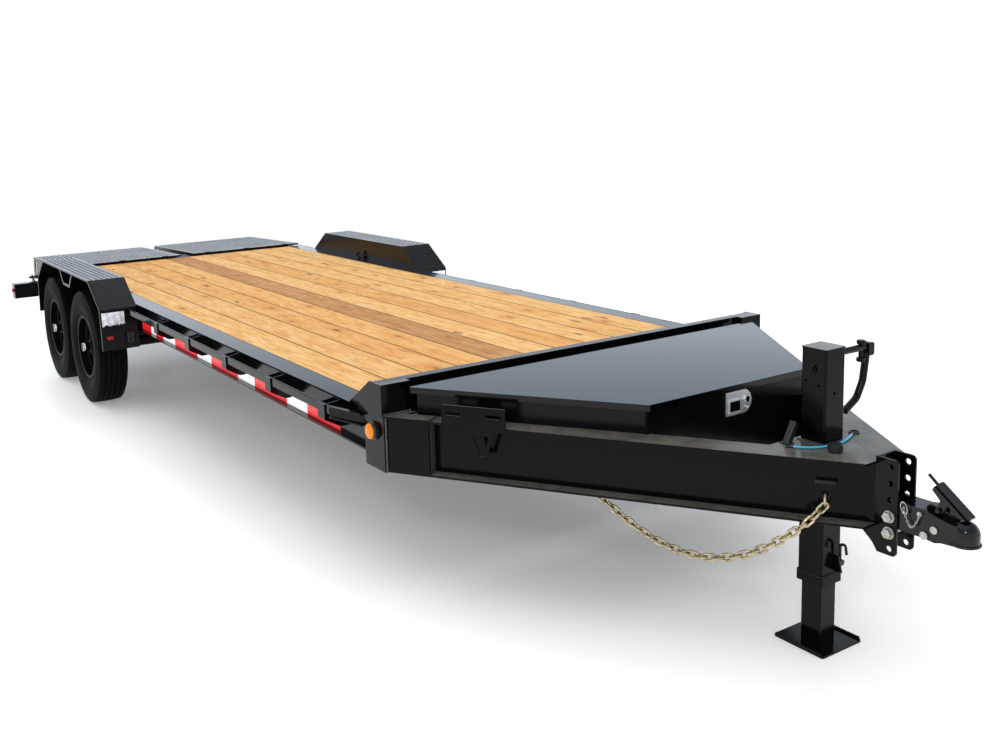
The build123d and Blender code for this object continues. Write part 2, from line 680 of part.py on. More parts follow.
def coupler():
    """Cast coupler: an open channel that swells into a beaded dome over the ball."""
    inner = BRACKET_WIDTH / 2 - BRACKET_WALL - RUN_GAP
    root = TONGUE_TIP_X + BRACKET_WEB + 3
    top = BALL_Z + 52
    low = BALL_Z - 41
    neck = BALL_X - 76
    profile = [(root, top), (neck - 40, top), (neck, top - 10), (BALL_X, BALL_Z + 26),
               (BALL_X, BALL_Z - SOCKET_DEPTH), (neck + 22, BALL_Z - 38), (neck, low - 4),
               (neck - 30, low), (root, low)]
    body = side_plate(profile, -inner, inner)
    long_edges = body.edges().filter_by(Axis.Y).group_by(Axis.Z)[-1]
    body = fillet(long_edges, 3)
    body -= side_plate([(root, top - 9), (neck - 38, top - 9), (neck, top - 19), (BALL_X - 34, BALL_Z + 22),
                        (BALL_X - 34, low - 8), (root, low - 8)], 7 - inner, inner - 7)
    dome = Pos(BALL_X, 0, BALL_Z) * Sphere(DOME_RADIUS)
    dome += rod_z(BALL_X, 0, DOME_RADIUS, BALL_Z - SOCKET_DEPTH, BALL_Z)
    bead = Pos(BALL_X, 0, BALL_Z - SOCKET_DEPTH + BEAD) * Torus(DOME_RADIUS, BEAD)
    ridge = side_plate([(neck - 50, top - 4), (neck - 34, top + 14), (neck + 8, top + 12), (BALL_X - 18, BALL_Z + 40),
                        (BALL_X - 18, BALL_Z + 20), (neck, top - 14)], RUN_GAP - LEVER_HALF, LEVER_HALF - RUN_GAP)
    solid = body + dome + bead + ridge
    solid -= Pos(BALL_X, 0, BALL_Z) * Sphere(SOCKET_RADIUS)
    solid -= rod_z(BALL_X, 0, SOCKET_RADIUS, BALL_Z - 2 * SOCKET_DEPTH, BALL_Z)
    solid &= block(root, BALL_X + 90, -60, 60, BALL_Z - SOCKET_DEPTH - 14, BALL_Z + 90)
    solid -= rod_y(LATCH_PIN_X, LATCH_PIN_Z, LATCH_PIN + RUN_GAP, -60, 60)
    for z in coupler_heights():
        solid -= rod_y(BOLT_X, z, COUPLER_BOLT / 2 + RUN_GAP, -60, 60)
    return solid


def hex_head(x, y, z, across, thick):
    """Hexagonal bolt head or nut whose axis lies along Y, from y to y + thick."""
    head = extrude(RegularPolygon(across / 2, 6, major_radius=False), amount=thick)
    return Pos(x, y + thick, z) * Rot(90, 0, 0) * head


def bracket_bolt(z):
    """Bolt through both ears, with its washers and nut."""
    half = BRACKET_WIDTH / 2
    radius = COUPLER_BOLT / 2
    bolt = rod_y(BOLT_X, z, radius, -half - 6, half + 30)
    bolt += rod_y(BOLT_X, z, radius * 2.1, -half - 4, -half)
    bolt += rod_y(BOLT_X, z, radius * 2.1, half, half + 4)
    bolt += hex_head(BOLT_X, -half - 17, z, radius * 3, 13)
    return bolt + hex_head(BOLT_X, half + 4, z, radius * 3, 16)


def coupler_lever():
    """Locking lever with its cheeks, grip rod and two cross pins."""
    top = BALL_Z + 52
    foot = (BALL_X + 14, BALL_Z + DOME_RADIUS + 4)
    head = (BALL_X - 94, BALL_Z + 128)
    run = hypot(head[0] - foot[0], head[1] - foot[1])
    across = ((head[1] - foot[1]) / run * 13, (foot[0] - head[0]) / run * 13)
    bar = side_plate([foot, head, (head[0] + across[0], head[1] + across[1]),
                      (foot[0] + across[0], foot[1] + across[1])], -LEVER_HALF, LEVER_HALF)
    cheek_line = [foot, head, (head[0] - 8, head[1] - 12), (BALL_X - 74, top + 36),
                  (LATCH_PIN_X - 12, LATCH_PIN_Z - 6), (LATCH_PIN_X + 10, LATCH_PIN_Z - 8),
                  (BALL_X - 48, top + 26), (foot[0] - 26, foot[1] + 6)]
    cheeks = side_plate(cheek_line, -LEVER_HALF - 6, -LEVER_HALF)
    cheeks += side_plate(cheek_line, LEVER_HALF, LEVER_HALF + 6)
    bar += cheeks
    grip = bent_rod([(head[0] + 20, 0, head[1] - 14), (head[0] - 8, 0, head[1] + 6),
                     (head[0] - 32, 0, head[1] + 26)], 5, 20)
    pin = rod_y(LATCH_PIN_X, LATCH_PIN_Z, LATCH_PIN, -LEVER_HALF - 16, LEVER_HALF + 16)
    return bar + grip + pin


def coupler_pins():
    """Rivets on both sides of the coupler and the pin of the safety clip."""
    side = BRACKET_WIDTH / 2 - BRACKET_WALL - RUN_GAP
    rivets = []
    for x, z, radius in ((BALL_X - 75, BALL_Z - 2, 12), (BALL_X - 108, BALL_Z - 30, 13), (BALL_X - 124, BALL_Z + 34, 8)):
        rivets.append(rod_y(x, z, radius, -side - 7, -side))
        rivets.append(rod_y(x, z, radius, side, side + 7))
    return rivets


# ---------------------------------------------------------------- jack
def square_tube(outer, wall, z0, z1, corner):
    """Square tube round the jack's axis, open at both ends."""
    half = outer / 2
    tube = block(JACK_X - half, JACK_X + half, -half, half, z0, z1)
    tube = fillet(upright_edges(tube), corner)
    bore = half - wall
    hollow = block(JACK_X - bore, JACK_X + bore, -bore, bore, z0, z1)
    return tube - hollow


def jack_housing():
    half = JACK_OUTER / 2
    bottom = DECK_TOP - JACK_DROP
    tube = square_tube(JACK_OUTER, JACK_WALL, bottom, JACK_TOP - JACK_CAP, 7)
    cap = block(JACK_X - half - 2, JACK_X + half + 2, -half - 2, half + 2, JACK_TOP - JACK_CAP, JACK_TOP)
    cap = fillet(upright_edges(cap), 7)
    collar_top = DECK_TOP - COLLAR_TOP_DROP
    wide = half + COLLAR_WALL
    collar = block(JACK_X - wide, JACK_X + wide, -wide, wide, COLLAR_LOW, collar_top)
    collar = fillet(upright_edges(collar), 10)
    slip = LEG_OUTER / 2 + SLIDE_GAP
    collar -= block(JACK_X - slip, JACK_X + slip, -slip, slip, COLLAR_LOW, bottom)
    bore = half - JACK_WALL
    collar -= block(JACK_X - bore, JACK_X + bore, -bore, bore, bottom, collar_top)
    boss = rod_y(JACK_X - 6, JACK_TOP - 74, 18, -half - 5, -half)
    boss += rod_y(JACK_X - 6, JACK_TOP - 74, 10, -half - 9, -half - 5)
    body = tube + cap + collar + boss
    for x, drop in ((JACK_X - 30, 118), (JACK_X + 22, 128)):
        body -= rod_y(x, JACK_TOP - drop, 5, -half - 1, JACK_WALL - half)
    body -= rod_x(-4, JACK_TOP - 156, 6, JACK_X + half - JACK_WALL, JACK_X + half + 1)
    flange_low = DECK_TOP
    weld = block(JACK_X - half - 5, JACK_X + half + 5, -half - 5, half + 5, flange_low, flange_low + 5)
    weld -= block(JACK_X - bore, JACK_X + bore, -bore, bore, flange_low, flange_low + 5)
    return body + weld


def jack_leg():
    """Square leg with a foot plate whose sides are turned up."""
    leg = square_tube(LEG_OUTER, LEG_WALL, FOOT_THICK, LEG_LENGTH, 6)
    foot = FOOT_SIZE / 2
    plate = block(JACK_X - foot, JACK_X + foot, -foot, foot, 0, FOOT_THICK)
    plate = fillet(upright_edges(plate), 8)
    for y in (-foot, foot - 6):
        plate += block(JACK_X - foot + 8, JACK_X + foot - 8, y, y + 6, FOOT_THICK, FOOT_THICK + FOOT_LIP)
    return leg + plate


def jack_crank():
    """Side crank on the left: shaft, yoke, two rubber stops and the folded handle."""
    half = JACK_OUTER / 2
    z = DECK_TOP + CRANK_RISE
    end = CRANK_REACH
    shaft = rod_y(JACK_X, z, CRANK_RADIUS, half, end - 14)
    shaft += rod_y(JACK_X, z, CRANK_RADIUS + 5, half, half + 10)
    yoke = block(JACK_X - 17, JACK_X + 17, end - 30, end, z - 30, z + 16)
    yoke = fillet(yoke.edges().filter_by(Axis.X), 9)
    yoke -= block(JACK_X - 9, JACK_X + 9, end - 12, end, z - 30, z + 16)
    stops = rod_z(JACK_X, end - 52, 8, z - 46, z + 24)
    for low in (z - 50, z + 12):
        knob = rod_z(JACK_X, end - 52, 15, low, low + 16)
        stops += fillet(knob.edges(), 5)
    arm = bent_rod([(JACK_X, end - 22, z - 22), (JACK_X, end - 38, z - 120),
                    (JACK_X, end - 70, z - 178), (JACK_X, end - 134, z - 214)], 13, 50)
    hook = bent_rod([(JACK_X, half, z - 26), (JACK_X, half + 16, z - 26), (JACK_X, half + 24, z - 38)], 3.5, 8)
    return shaft + yoke + stops + arm, hook


def pull_pin():
    """Spring pin of the drop leg: a tab on the housing, and beside it the barrel with its hooked handle."""
    x = JACK_X + JACK_OUTER / 2
    z = DECK_TOP - PIN_DROP
    barrel = rod_x(26, z, 11, x, x + 26)
    handle = bent_rod([(x + 16, 26, z), (x + 16, 26, z + 62), (x + 36, 26, z + 68), (x + 42, 26, z + 34)], 5, 8)
    tab = side_plate([(x, z + 26), (x + 22, z + 26), (x + 36, z - 30), (x, z - 30)], 8, 14)
    return barrel + handle, tab


# ---------------------------------------------------------------- running gear
def tyre_outline():
    """Half section of the tyre as edges: bead, sidewall, shoulder and grooved tread."""
    bead = RIM_WIDTH / 2 - 6 - RUN_GAP
    half = TYRE_WIDTH / 2
    rim = (-bead, RIM_LIP + 3)
    belly = (-half, (RIM_LIP + TYRE_RADIUS) / 2)
    shoulder = (-TREAD_HALF - 8, TYRE_RADIUS - 26)
    crown = TYRE_RADIUS - 5
    tread = [(-TREAD_HALF, crown)]
    width = 2 * TREAD_HALF / (TREAD_GROOVES + 1)
    for i in range(1, TREAD_GROOVES + 1):
        centre = -TREAD_HALF + width * i
        level = TYRE_RADIUS - 5 * (centre / TREAD_HALF) ** 2
        tread += [(centre - GROOVE_WIDTH / 2, level), (centre - GROOVE_WIDTH / 2, level - GROOVE_DEPTH),
                  (centre + GROOVE_WIDTH / 2, level - GROOVE_DEPTH), (centre + GROOVE_WIDTH / 2, level)]
    tread.append((TREAD_HALF, crown))

    def at(point, side=1):
        return (0, side * point[0], point[1])

    def corner(side):
        middle = ((shoulder[0] + tread[0][0]) / 2 - 2, (shoulder[1] + crown) / 2 + 3)
        return [ThreePointArc(at(rim, side), at(belly, side), at(shoulder, side)),
                ThreePointArc(at(shoulder, side), at(middle, side), at(tread[0], side)),
                Line(at((rim[0], RIM_RADIUS), side), at(rim, side))]

    floor = Line(at((rim[0], RIM_RADIUS)), at((-rim[0], RIM_RADIUS)))
    crown_line = Polyline(*[at(point) for point in tread])
    return corner(1) + corner(-1) + [floor, crown_line]


def tyre(x):
    ring = revolve(make_face(tyre_outline()), axis=Axis.Y)
    return Pos(x, -TYRE_CENTRE_Y, TYRE_RADIUS) * ring


def rim(x):
    """Steel wheel: drop-centre barrel and dished disc with hand holes. Outboard is -Y."""
    half = RIM_WIDTH / 2
    wall = 5
    seat = RIM_RADIUS - RUN_GAP
    well = RIM_RADIUS - RIM_WELL
    outside = [(-half, RIM_LIP), (5 - half, RIM_LIP), (6 - half, seat), (45 - half, seat), (55 - half, well),
               (half - 60, well), (half - 50, seat), (half - 6, seat), (half - 5, RIM_LIP), (half, RIM_LIP)]
    inside = [(half, RIM_RADIUS - wall), (half - 48, RIM_RADIUS - wall), (half - 60, well - wall),
              (55 - half, well - wall), (43 - half, RIM_RADIUS - wall), (-half, RIM_RADIUS - wall)]
    disc = [(-4, 0), (-4, 105), (-24, 128), (-24, 150), (2, well - wall), (8, well - wall),
            (8, well - wall - 7), (-15, 148), (-15, 132), (4, 100), (4, 0)]
    body = spun(outside + inside) + spun(disc)
    for i in range(STUD_COUNT):
        body -= Rot(0, 360 / STUD_COUNT * i, 0) * rod_y(0, 148, 15, -60, 30)
    body -= rod_y(0, 0, SPINDLE / 2 + RUN_GAP, -SPINDLE_REACH - 4, 10)
    return Pos(x, -TYRE_CENTRE_Y, TYRE_RADIUS) * body


def hub_face(x):
    """Hub cap and the ring of wheel nuts, outboard of the disc."""
    cap = spun([(-4 - SEAM, SPINDLE / 2 + 6), (-4 - SEAM, CAP_RADIUS), (-52, CAP_RADIUS), (-58, CAP_RADIUS - 6),
                (-62, CAP_RADIUS - 16), (-CAP_REACH + 8, CAP_RADIUS - 18), (-CAP_REACH, CAP_RADIUS - 26),
                (-CAP_REACH, 0), (-SPINDLE_REACH - 4, 0), (-SPINDLE_REACH - 4, SPINDLE / 2 + 6)])
    nuts = []
    for i in range(STUD_COUNT):
        turn = Rot(0, 360 / STUD_COUNT * (i + 0.5), 0)
        nuts.append(turn * Pos(0, -4, STUD_CIRCLE) * Rot(90, 0, 0) * Cylinder(11, 22, align=(Align.CENTER, Align.CENTER, Align.MIN)))
    place = Pos(x, -TYRE_CENTRE_Y, TYRE_RADIUS)
    return [place * cap] + [place * nut for nut in nuts]


def drum(x):
    """Brake drum behind the disc, open towards the backing plate, with its hub."""
    body = rod_y(0, 0, DRUM_RADIUS, 4, DRUM_OPEN) - rod_y(0, 0, DRUM_RADIUS - 10, 12, DRUM_OPEN)
    body += rod_y(0, 0, CAP_RADIUS, 12, DRUM_OPEN - 6)
    body -= rod_y(0, 0, SPINDLE / 2 + RUN_GAP, 4, DRUM_OPEN)
    return Pos(x, -TYRE_CENTRE_Y, TYRE_RADIUS) * body


def axle(x):
    """Tube axle with spindles, spring seats and backing plates."""
    plate = TYRE_CENTRE_Y - DRUM_OPEN - PLATE_GAP
    end = TYRE_CENTRE_Y + SPINDLE_REACH
    body = rod_y(x, TYRE_RADIUS, AXLE_TUBE / 2, -plate, plate)
    body += rod_y(x, TYRE_RADIUS, SPINDLE / 2, -end, end)
    for side in (-1, 1):
        middle = side * (plate - 2)
        body += rod_y(x, TYRE_RADIUS, DRUM_RADIUS - 12, middle - 2, middle + 2)
        body += block(x - 60, x + 60, side * SPRING_Y - 30, side * SPRING_Y + 30,
                      TYRE_RADIUS + AXLE_TUBE / 2 - 10, SPRING_SEAT)
    return body


def leaf(x, number):
    """One leaf of the pack; number 0 lies on the axle and is the shortest."""
    half = SPRING_HALF * (1 - 0.17 * (LEAF_COUNT - 1 - number))
    low = SPRING_SEAT + LEAF * number
    rise = SPRING_CAMBER * (half / SPRING_HALF) ** 2
    under = ThreePointArc((x - half, 0, low + rise), (x, 0, low), (x + half, 0, low + rise))
    high = low + LEAF
    over = ThreePointArc((x + half, 0, high + rise), (x, 0, high), (x - half, 0, high + rise))
    outline = make_face([under, Line(under @ 1, over @ 0), over, Line(over @ 1, under @ 0)])
    return extrude(outline, amount=SPRING_WIDTH / 2, dir=(0, 1, 0), both=True)


def leaf_spring(x):
    """Leaf pack with two rolled eyes and its clamp, over the axle."""
    pack = leaf(x, 0)
    for number in range(1, LEAF_COUNT):
        pack += leaf(x, number)
    for side in (-1, 1):
        eye = x + side * SPRING_HALF
        pack += rod_y(eye, EYE_Z, SPRING_EYE, -SPRING_WIDTH / 2, SPRING_WIDTH / 2)
        pack -= rod_y(eye, EYE_Z, SHACKLE_BOLT / 2 + RUN_GAP, -SPRING_WIDTH, SPRING_WIDTH)
    top = SPRING_SEAT + LEAF * LEAF_COUNT
    pack += block(x - 45, x + 45, -SPRING_WIDTH / 2 - 4, SPRING_WIDTH / 2 + 4, top, top + 12)
    return Pos(0, -SPRING_Y, 0) * pack


def hanger(x, width, foot):
    """Pair of cheeks welded under the rail with one bolt through them."""
    gap = SPRING_WIDTH / 2 + 1
    cheek = [(x - width, RAIL_BOTTOM), (x + width, RAIL_BOTTOM), (x + foot, EYE_Z - 26), (x - foot, EYE_Z - 26)]
    pair = side_plate(cheek, -SPRING_Y - gap - WEB, -SPRING_Y - gap)
    pair += side_plate(cheek, -SPRING_Y + gap, -SPRING_Y + gap + WEB)
    return pair + rod_y(x, EYE_Z, SHACKLE_BOLT / 2, -SPRING_Y - gap - 16, -SPRING_Y + gap + 16)


def equaliser():
    """Rocker between the two springs on its central post."""
    gap = SPRING_WIDTH / 2 + 1
    x = AXLE_MID_X
    reach = AXLE_SPACING / 2 - SPRING_HALF
    rocker = [(x - reach - 24, EYE_Z - 20), (x - reach - 24, EYE_Z + 20), (x - 30, EYE_Z + 34),
              (x + 30, EYE_Z + 34), (x + reach + 24, EYE_Z + 20), (x + reach + 24, EYE_Z - 20),
              (x + 30, EYE_Z - 14), (x - 30, EYE_Z - 14)]
    body = side_plate(rocker, -SPRING_Y - gap - WEB, -SPRING_Y - gap)
    body += side_plate(rocker, -SPRING_Y + gap, -SPRING_Y + gap + WEB)
    for side in (-1, 1):
        body += rod_y(x + side * reach, EYE_Z, SHACKLE_BOLT / 2, -SPRING_Y - gap - 16, -SPRING_Y + gap + 16)
    post = [(x - 40, RAIL_BOTTOM), (x + 40, RAIL_BOTTOM), (x + 22, EYE_Z + 4), (x - 22, EYE_Z + 4)]
    return body + side_plate(post, -SPRING_Y - gap, -SPRING_Y + gap)


def spring_hangers():
    """Front, rear and middle hangers of the right-hand side."""
    front = hanger(AXLES_X[0] + SPRING_HALF, 45, 26)
    rear = hanger(AXLES_X[1] - SPRING_HALF, 45, 26)
    return [front, rear, equaliser()]


# ---------------------------------------------------------------- fender
def fender_line(inset):
    """Side view of the fender's sheet, moved inwards by an inset."""
    low = DECK_TOP - FENDER_LOW_DROP
    bend = DECK_TOP - FENDER_BEND_DROP
    top = DECK_TOP + FENDER_RISE - inset
    base = FENDER_BASE_HALF - inset
    half = FENDER_TOP_HALF - inset * 0.45
    foot = base + FENDER_FLARE
    line = [(foot, low), (base, bend), (half, top), (-half, top), (-base, bend), (-foot, low)]
    return [(FENDER_MID_X + x, z) for x, z in line]


def fender_hanger():
    """Folded strap in the shape of a V with a flat foot, hung under the fender's outer edge."""
    under = DECK_TOP + FENDER_RISE - FENDER_SHEET
    foot = under - HANGER_DROP
    outline = [(FENDER_MID_X - HANGER_TOP_HALF, under), (FENDER_MID_X + HANGER_TOP_HALF, under),
               (FENDER_MID_X + HANGER_FOOT_HALF, foot), (FENDER_MID_X - HANGER_FOOT_HALF, foot)]
    opening = [(FENDER_MID_X - HANGER_TOP_HALF + 24, under), (FENDER_MID_X + HANGER_TOP_HALF - 24, under),
               (FENDER_MID_X + HANGER_FOOT_HALF - 10, foot + 18), (FENDER_MID_X - HANGER_FOOT_HALF + 10, foot + 18)]
    outer = -FENDER_OUTER + HANGER_INSET
    strap = side_plate(outline, outer, outer + 6) - side_plate(opening, outer - 1, outer + 7)
    return strap - rod_y(FENDER_MID_X - HANGER_FOOT_HALF + 20, foot + 9, 5, outer - 1, outer + 7)


def fender():
    """Folded sheet over both wheels with a turned-down edge, an inner wall and a hanger."""
    outer = fender_line(0)
    inner_wall = FENDER_INNER - FENDER_SHEET
    sheet = side_plate(outer + fender_line(FENDER_SHEET)[::-1], -FENDER_OUTER, -FENDER_INNER)
    edge = side_plate(outer + fender_line(FENDER_LIP)[::-1], -FENDER_OUTER, FENDER_SHEET - FENDER_OUTER)
    slope = (FENDER_RISE + FENDER_BEND_DROP) / (FENDER_BASE_HALF - FENDER_TOP_HALF)
    foot = FENDER_BASE_HALF - FENDER_BEND_DROP / slope
    top = DECK_TOP + FENDER_RISE
    panel = [(FENDER_MID_X + foot, DECK_TOP), (FENDER_MID_X + FENDER_TOP_HALF, top),
             (FENDER_MID_X - FENDER_TOP_HALF, top), (FENDER_MID_X - foot, DECK_TOP)]
    wall = side_plate(panel, -FENDER_INNER, -inner_wall)
    seat = block(FENDER_MID_X - foot, FENDER_MID_X + foot, -FENDER_INNER, -FRAME_HALF, DECK_TOP - 6, DECK_TOP)
    return sheet + edge + wall + seat + fender_hanger()


# ---------------------------------------------------------------- tail and ramps
def ramp_low(x):
    """Lower edge of a ramp's side plate: shallow at the front, deep at the hinge."""
    nose = RAMP_TOP - RAMP_NOSE
    heel = HINGE_Z - HINGE_EYE / 2
    return nose + (heel - nose) * (RAMP_FRONT_X - x) / (RAMP_FRONT_X - HINGE_X)


def stowed(shape):
    """Turn a ramp about its hinge pin from level to the angle at which it is stowed."""
    hinge = Pos(HINGE_X, 0, HINGE_Z)
    return hinge * Rot(0, -RAMP_TILT, 0) * hinge.inverse() * shape


def ramp_nose():
    """Rounded bar along the front of the tread plate, with three grips on it."""
    front = RAMP_FRONT_X + RAMP_LAP
    bar = block(front - 18, front, -RAMP_OUTER, -RAMP_GAP, RAMP_TOP - 14, RAMP_TOP)
    bar = fillet(bar.edges().filter_by(Axis.Y).group_by(Axis.X)[-1], 5)
    for y in (-RAMP_OUTER + 130, -(RAMP_OUTER + RAMP_GAP) / 2, -RAMP_GAP - 130):
        grip = block(front - 30, front - 6, y - 22, y + 22, RAMP_TOP - 4, RAMP_TOP + 4)
        bar += fillet(grip.edges().filter_by(Axis.Z), 4)
    return bar


def ramp():
    """Fold-over ramp: tread plate on two wedge-shaped side plates, angle cleats underneath."""
    rear = RAMP_FRONT_X - RAMP_LENGTH
    under = RAMP_TOP - RAMP_DECK
    eye = HINGE_EYE / 2
    plate = block(rear, RAMP_FRONT_X + RAMP_LAP - 1, -RAMP_OUTER, -RAMP_GAP, under, RAMP_TOP)
    plate = fillet(upright_edges(plate).group_by(Axis.X)[0], 18)
    outline = [(RAMP_FRONT_X, under), (RAMP_FRONT_X, ramp_low(RAMP_FRONT_X)), (HINGE_X, HINGE_Z - eye),
               (HINGE_X - eye, HINGE_Z), (HINGE_X - eye + 8, HINGE_Z + eye), (rear + 6, under)]
    slot = [(rear + 52, RAMP_TOP - 32), (rear + 112, RAMP_TOP - 32), (rear + 112, RAMP_TOP - 118),
            (rear + 52, RAMP_TOP - 122)]
    body = plate + ramp_nose()
    for y in (-RAMP_OUTER, -RAMP_GAP - RAMP_SIDE):
        body += side_plate(outline, y, y + RAMP_SIDE) - side_plate(slot, y, y + RAMP_SIDE)
    low_y = RAMP_SIDE - RAMP_OUTER
    high_y = -RAMP_GAP - RAMP_SIDE
    for i in range(CLEAT_COUNT):
        x = RAMP_FRONT_X - 6 - CLEAT_PITCH * i
        low = ramp_low(x) + 4
        body += block(x - 6, x, low_y, high_y, low, under)
        body += block(x - 40, x - 6, low_y, high_y, low, low + 6)
    return stowed(body) + rod_y(HINGE_X, HINGE_Z, HINGE_PIN / 2, -HINGE_REACH, -RAMP_GAP)


def tail_rail():
    """Sloping channel from the end of the right main rail down to the bumper."""
    lift = (RAMP_FRONT_X - HINGE_X) * tan(radians(RAMP_TILT))
    front_top = RAMP_TOP - RAMP_NOSE - RAMP_REST + lift
    front = -DECK_LENGTH
    rear = BUMPER_X + BUMPER_DEPTH
    outline = [(front, front_top), (front, front_top - TAIL_DEPTH),
               (rear, BUMPER_TOP - TAIL_DEPTH), (rear, BUMPER_TOP)]
    web = side_plate(outline, -FRAME_HALF, WEB - FRAME_HALF)
    flange = [(front, front_top), (front, front_top - PLATE), (rear, BUMPER_TOP - PLATE), (rear, BUMPER_TOP)]
    top = side_plate(flange, WEB - FRAME_HALF, TAIL_FLANGE - FRAME_HALF)
    return web + top + Pos(0, 0, PLATE - TAIL_DEPTH) * top


def hinge_lug(y):
    """Lug on the bumper that carries a ramp's hinge pin."""
    eye = HINGE_EYE / 2
    back = BUMPER_X
    lug = [(back, BUMPER_TOP), (back, BUMPER_TOP - 60), (HINGE_X, HINGE_Z - eye), (HINGE_X - eye, HINGE_Z),
           (HINGE_X, HINGE_Z + eye), (back + 40, BUMPER_TOP)]
    plate = side_plate(lug, y, y + LUG_THICK)
    return plate - rod_y(HINGE_X, HINGE_Z, HINGE_PIN / 2 + RUN_GAP, y - 1, y + LUG_THICK + 1)


def bumper():
    """Closed rear tube with the lugs that carry the ramp hinges."""
    x1 = BUMPER_X + BUMPER_DEPTH
    low = BUMPER_TOP - BUMPER_HEIGHT
    wall = BUMPER_WALL
    tube = block(BUMPER_X, x1, -BUMPER_HALF, BUMPER_HALF, low, BUMPER_TOP)
    tube -= block(BUMPER_X + wall, x1 - wall, wall - BUMPER_HALF, BUMPER_HALF - wall, low + wall, BUMPER_TOP - wall)
    inside = RAMP_OUTER - RAMP_SIDE - 22
    middle = (RAMP_OUTER + RAMP_GAP) / 2
    for y in (-FRAME_HALF - LUG_THICK - 6, -inside, -middle, -RAMP_GAP - RAMP_SIDE - 34):
        lug = hinge_lug(y)
        tube += lug + other_side(lug)
    return tube


# ---------------------------------------------------------------- lights, chain, cable
def marker_light():
    """Amber side marker in a round grommet on the corner gusset."""
    y = -FRAME_HALF - PLATE
    z = DECK_TOP - MARKER_DROP
    grommet = rod_y(MARKER_X, z, MARKER_RADIUS + 8, y - 8, y)
    lens = Pos(MARKER_X, y - 8, z) * Rot(90, 0, 0) * Cone(MARKER_RADIUS, MARKER_RADIUS - 7, 14,
                                                         align=(Align.CENTER, Align.CENTER, Align.MIN))
    return grommet + lens


def tail_lights():
    """Oval lights in the bumper's rear face and a round one at each end."""
    z = BUMPER_TOP - BUMPER_HEIGHT / 2
    lights = []
    for side in (-1, 1):
        y = side * (BUMPER_HALF - 92)
        body = block(BUMPER_X - 12, BUMPER_X, y - 70, y + 70, z - 28, z + 28)
        lights.append(fillet(body.edges().filter_by(Axis.X), 26))
        end = side * BUMPER_HALF
        lights.append(rod_y(BUMPER_X + BUMPER_DEPTH / 2, z + 6, 15, min(end, end + side * 14), max(end, end + side * 14)))
    return lights


def chain_link(inside, roll):
    """Stadium-shaped link centred on the origin, its long way along X."""
    radius = (LINK_WIDTH - LINK_ROD) / 2
    half = (inside + LINK_ROD) / 2 - radius
    wire = Wire([Line((-half, radius), (half, radius)), ThreePointArc((half, radius), (half + radius, 0), (half, -radius)),
                 Line((half, -radius), (-half, -radius)), ThreePointArc((-half, -radius), (-half - radius, 0), (-half, radius))])
    section = Plane(origin=(0, radius, 0), z_dir=(1, 0, 0)) * Circle(LINK_ROD / 2)
    return Rot(roll, 0, 0) * sweep(section, path=wire)


def eased(t):
    """Smooth step from 0 to 1."""
    t = min(max(t, 0), 1)
    return t * t * (3 - 2 * t)


def chain_line(t):
    """Point of the hanging chain, from the ring (t = 0) to the keeper (t = 1)."""
    tilt = radians(CHAIN_RING_TILT)
    start = chain_eye_face() + PLATE / 2 - 2 * CHAIN_RING * sin(tilt)
    drop = CHAIN_EYE_DROP + 2 * CHAIN_RING * cos(tilt)
    end = TONGUE_FLANGE - 24
    low = TONGUE_DEPTH + KEEPER_DROP
    s = CHAIN_FRONT_S + (CHAIN_BACK_S - CHAIN_FRONT_S) * t
    across = start - (start + CHAIN_CLEAR) * eased(t / 0.08) + (end + CHAIN_CLEAR) * eased((t - 0.2) / 0.8)
    return s, across, -drop - (low - drop) * t - 4 * CHAIN_SAG * t * (1 - t)


def chain_places():
    """Middle of each link and the direction along it."""
    line = [chain_line(i / 600) for i in range(601)]
    walked = [0]
    for a, b in zip(line, line[1:]):
        walked.append(walked[-1] + hypot(b[0] - a[0], b[1] - a[1], b[2] - a[2]))
    first = LINK_PITCH / 2 - LINK_ROD / 2 - RUN_GAP
    last = walked[-1] - LINK_PITCH / 2 + KEEPER_ROD + RUN_GAP
    count = round((last - first) / LINK_PITCH) + 1
    pitch = (last - first) / (count - 1)
    places = []
    for number in range(count):
        target = first + pitch * number
        i = max(k for k in range(600) if walked[k] <= target)
        share = (target - walked[i]) / (walked[i + 1] - walked[i])
        along = Vector(*line[i + 1]) - Vector(*line[i])
        places.append((Vector(*line[i]) + along * share, along))
    return places, pitch


def safety_chain():
    """Chain of the right-hand side, each link a quarter turn from its neighbours."""
    links = []
    places, pitch = chain_places()
    for number, (place, along) in enumerate(places):
        plane = Plane(origin=place, x_dir=along, z_dir=along.cross(Vector(0, 0, 1)))
        links.append(tongue_place() * plane.location * chain_link(pitch + 2 * RUN_GAP, 90 * (number % 2)))
    face = chain_eye_face() + PLATE / 2
    middle = Pos(CHAIN_FRONT_S, face, -CHAIN_EYE_DROP) * Rot(-CHAIN_RING_TILT, 0, 0) * Pos(0, 0, -CHAIN_RING)
    ring = middle * Rot(0, 90, 0) * Torus(CHAIN_RING, LINK_ROD / 2)
    return links + [tongue_place() * ring]


# ---------------------------------------------------------------- breakaway switch and its cable
def cable_points():
    """Corners of the pull cable's route round the front of the jack, on top of the nose plate."""
    z = DECK_TOP + CABLE_RADIUS + RUN_GAP
    side = JACK_OUTER / 2
    front = JACK_X + side
    return [(JACK_X, -side - 96, z), (front - 12, -side - 68, z), (front + 12, -side - 26, z), (front + 20, -26, z),
            (front + 17, 26, z), (front + 4, side + 24, z), (front - 14, side + 62, z)]


def cable_path():
    """The cable's centre line: its corners joined with bends as wide as they allow."""
    points = cable_points()
    radii = []
    for a, b, c in zip(points, points[1:], points[2:]):
        before = Vector(*b) - Vector(*a)
        after = Vector(*c) - Vector(*b)
        turn = radians(before.get_angle(after))
        radii.append(0.45 * min(before.length, after.length) / tan(turn / 2))
    print("cable radii", [round(radius) for radius in radii])
    return FilletPolyline(*points, radius=radii)


